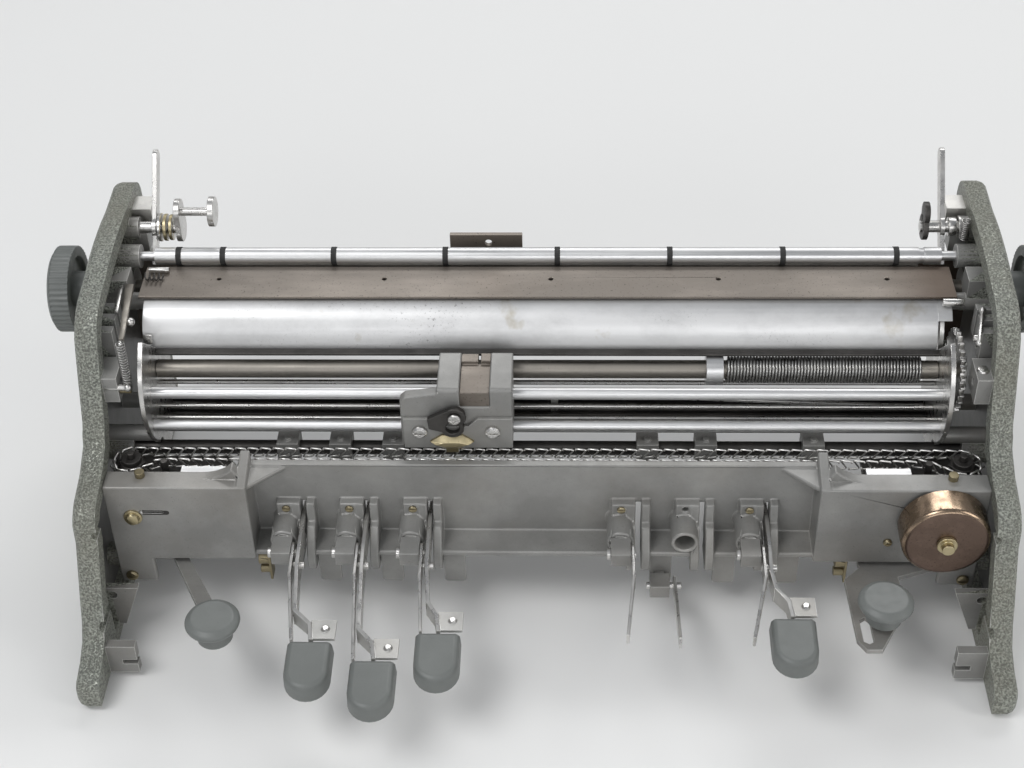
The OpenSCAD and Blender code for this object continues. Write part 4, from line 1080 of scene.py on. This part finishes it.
END_FITTINGS = (
    ("guide_tab", "chassis", "steel", 1, (
        ("strip", (-164.6, 31.6, 103.2), (-161.0, 31.6, 103.2), 0.9, 0.9, 4.5),
    )),
    ("right_pins", "chassis", "steel", 1, (
        ("rod", (161.0, 41.2, 115.2), (169.6, 41.2, 115.2), 1.6, 1.6),
        ("rod", (174.6, 31.0, 118.8), (169.9, 11.0, 118.2), 0.9, 0.9),
        ("ball", (174.6, 31.0, 118.8), 1.5),
        ("rod", (170.5, 22.0, 112.0), (175.9, 22.0, 112.0), 1.4, 1.4),
        ("ball", (169.7, 11.0, 118.2), 1.2),
        ("rod", (173.2, 10.5, 104.9), (173.2, 10.5, 105.9), 2.6, 2.0),
    )),
    ("right_release_collar", "right_release_lever", "steel", 1, (
        ("rod", (168.2, 82, 124), (171.4, 82, 124), 4.0, 4.0),
        ("rod", (172.2, 82, 124), (173.4, 82, 124), 4.6, 4.6),
    )),
    ("right_release_arm", "right_release_lever", "dark_steel", 1, (
        ("rod", (157.4, 82, 124), (159.6, 82, 124), 5.6, 5.6),
        ("rod", (157.4, 82, 131), (159.6, 82, 131), 4.6, 4.6),
    )),
    ("left_block_screw", "chassis", "gilt", 1, (
        ("rod", (-166, -22.8, 55), (-166, -23.8, 55), 3.8, 3.8, 32),
        ("rod", (-166, -23, 55), (-166, -25.4, 55), 3.1, 2.5, 32),
    )),
)
CURL_START = (-166.3, 55.0, 117.9)       # millimetres, as are the next three
CURL_STEP = 0.32
CURL_RADII = (2.0, 1.3)
CURL_WIRE = 0.35
CURL_POINTS = 25
CURL_TURN = 1.05                         # radians from one point to the next
GROOVE_REAR_AND_FRONT = (-22.9, -23.12)  # millimetres, as are the next two
GROOVE_ALONG = (-161.8, -152.0)
GROOVE_HEIGHTS = (56.3, 58.5)


def fill(bm, forms):
    """Adds the forms of one row to a mesh in the making."""
    for kind, *sizes in forms:
        if kind == "ball":
            ball(bm, Vector(sizes[0]) * MM, sizes[1] * MM)
            continue
        a, b = Vector(sizes[0]) * MM, Vector(sizes[1]) * MM
        if kind == "rod":
            rod(bm, a, b, sizes[2] * MM, sizes[3] * MM, *sizes[4:])
        else:
            strip(bm, a, b, sizes[2] * MM, sizes[3] * MM, sizes[4] * MM)


def add_details(rows, fine):
    """One piece for each row, its edges rounded by a number of sheet edges."""
    for name, body, finish, edges, forms in rows:
        detail(name, lambda bm: fill(bm, forms), "steel", body, finish, edges * fine)


def curled_wire():
    """The small curled wire on the left end of the paper table."""
    x, y, z = CURL_START
    path = []
    for i in range(CURL_POINTS):
        turn = i * CURL_TURN
        path.append(Vector((
            x + i * CURL_STEP, y + CURL_RADII[0] * math.cos(turn),
            z + CURL_RADII[1] * math.sin(turn),
        )) * MM)
    return tube_mesh("left_curled_wire", path, CURL_WIRE * MM)


def groove_shade_sheet(bm):
    """Thin near-black sheet with a round end beside the left block's screw: painted shade for the
    slot.
    """
    x0, x1 = (x * MM for x in GROOVE_ALONG)
    low, high = (z * MM for z in GROOVE_HEIGHTS)
    middle, radius = (low + high) / 2, (high - low) / 2
    ring = [(x0, low)]
    for i in range(7):
        a = math.radians(-90 + 30 * i)
        ring.append((x1 + radius * math.cos(a), middle + radius * math.sin(a)))
    ring.append((x0, high))
    rows = [[bm.verts.new((x, y * MM, z)) for x, z in ring] for y in GROOVE_REAR_AND_FRONT]
    n = len(ring)
    for i in range(n):
        bm.faces.new((rows[0][i], rows[0][(i + 1) % n], rows[1][(i + 1) % n], rows[1][i]))
    bm.faces.new(rows[0])
    bm.faces.new(rows[1][::-1])


class WRITER_OT_linkages(bpy.types.Operator):
    """Levers, pins and balls between the side frames and the end plates"""

    bl_idname = "writer.linkages"
    bl_label = "End linkages"

    def execute(self, context):
        fine = context.scene.writer_sizes.sheet_edge
        add_details(END_LEVERS, fine)
        new_piece("left_curled_wire", curled_wire(), "chassis", "dark_steel")
        add_details(END_FITTINGS, fine)
        # thin dark sheet as painted shade for the slot in the left block
        detail("left_block_groove", groove_shade_sheet, "casting", "chassis", "slot_dark")
        return {"FINISHED"}


class WRITER_OT_bell(bpy.types.Operator):
    """Gong with its stud and nut"""

    bl_idname = "writer.bell"
    bl_label = "Bell"

    def execute(self, context):
        fine = context.scene.writer_sizes.sheet_edge
        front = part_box("bell_gong")[0][1]

        def face(at, normal):
            return at.y < front + 3 * TEST_SLACK and normal.y < -0.9

        soften("bell_gong", smooth=30, regions=(("gong_face", face),))
        soften("bell_stud", "gilt", width=fine)
        return {"FINISHED"}


class WRITER_PT_panel(bpy.types.Panel):
    """Lists the writer's pieces in the sidebar"""

    bl_idname = "WRITER_PT_panel"
    bl_label = "Braille writer"
    bl_space_type = "VIEW_3D"
    bl_region_type = "UI"
    bl_category = "Writer"

    def draw(self, context):
        layout = self.layout
        for group in (context.scene.writer_colours, context.scene.writer_sizes):
            for name in group.bl_rna.properties.keys():
                if name not in {"rna_type", "name"}:
                    layout.prop(group, name)
        for operator in OPERATORS:
            layout.operator(operator.bl_idname)


OPERATORS = (
    WRITER_OT_stage,
    WRITER_OT_castings,
    WRITER_OT_carriage,
    WRITER_OT_rods,
    WRITER_OT_paper,
    WRITER_OT_chain,
    WRITER_OT_springs,
    WRITER_OT_keys,
    WRITER_OT_buttons,
    WRITER_OT_linkages,
    WRITER_OT_bell,
)
CLASSES = (WriterColours, WriterSizes, *OPERATORS, WRITER_PT_panel)


def register():
    for cls in CLASSES:
        bpy.utils.register_class(cls)
    bpy.types.Scene.writer_colours = bpy.props.PointerProperty(type=WriterColours)
    bpy.types.Scene.writer_sizes = bpy.props.PointerProperty(type=WriterSizes)


def unregister():
    del bpy.types.Scene.writer_sizes
    del bpy.types.Scene.writer_colours
    for cls in reversed(CLASSES):
        bpy.utils.unregister_class(cls)


def main():
    register()
    make_materials(bpy.context.scene.writer_colours)
    for operator in OPERATORS:
        group, name = operator.bl_idname.split(".")
        getattr(getattr(bpy.ops, group), name)()


if __name__ == "__main__":
    main()
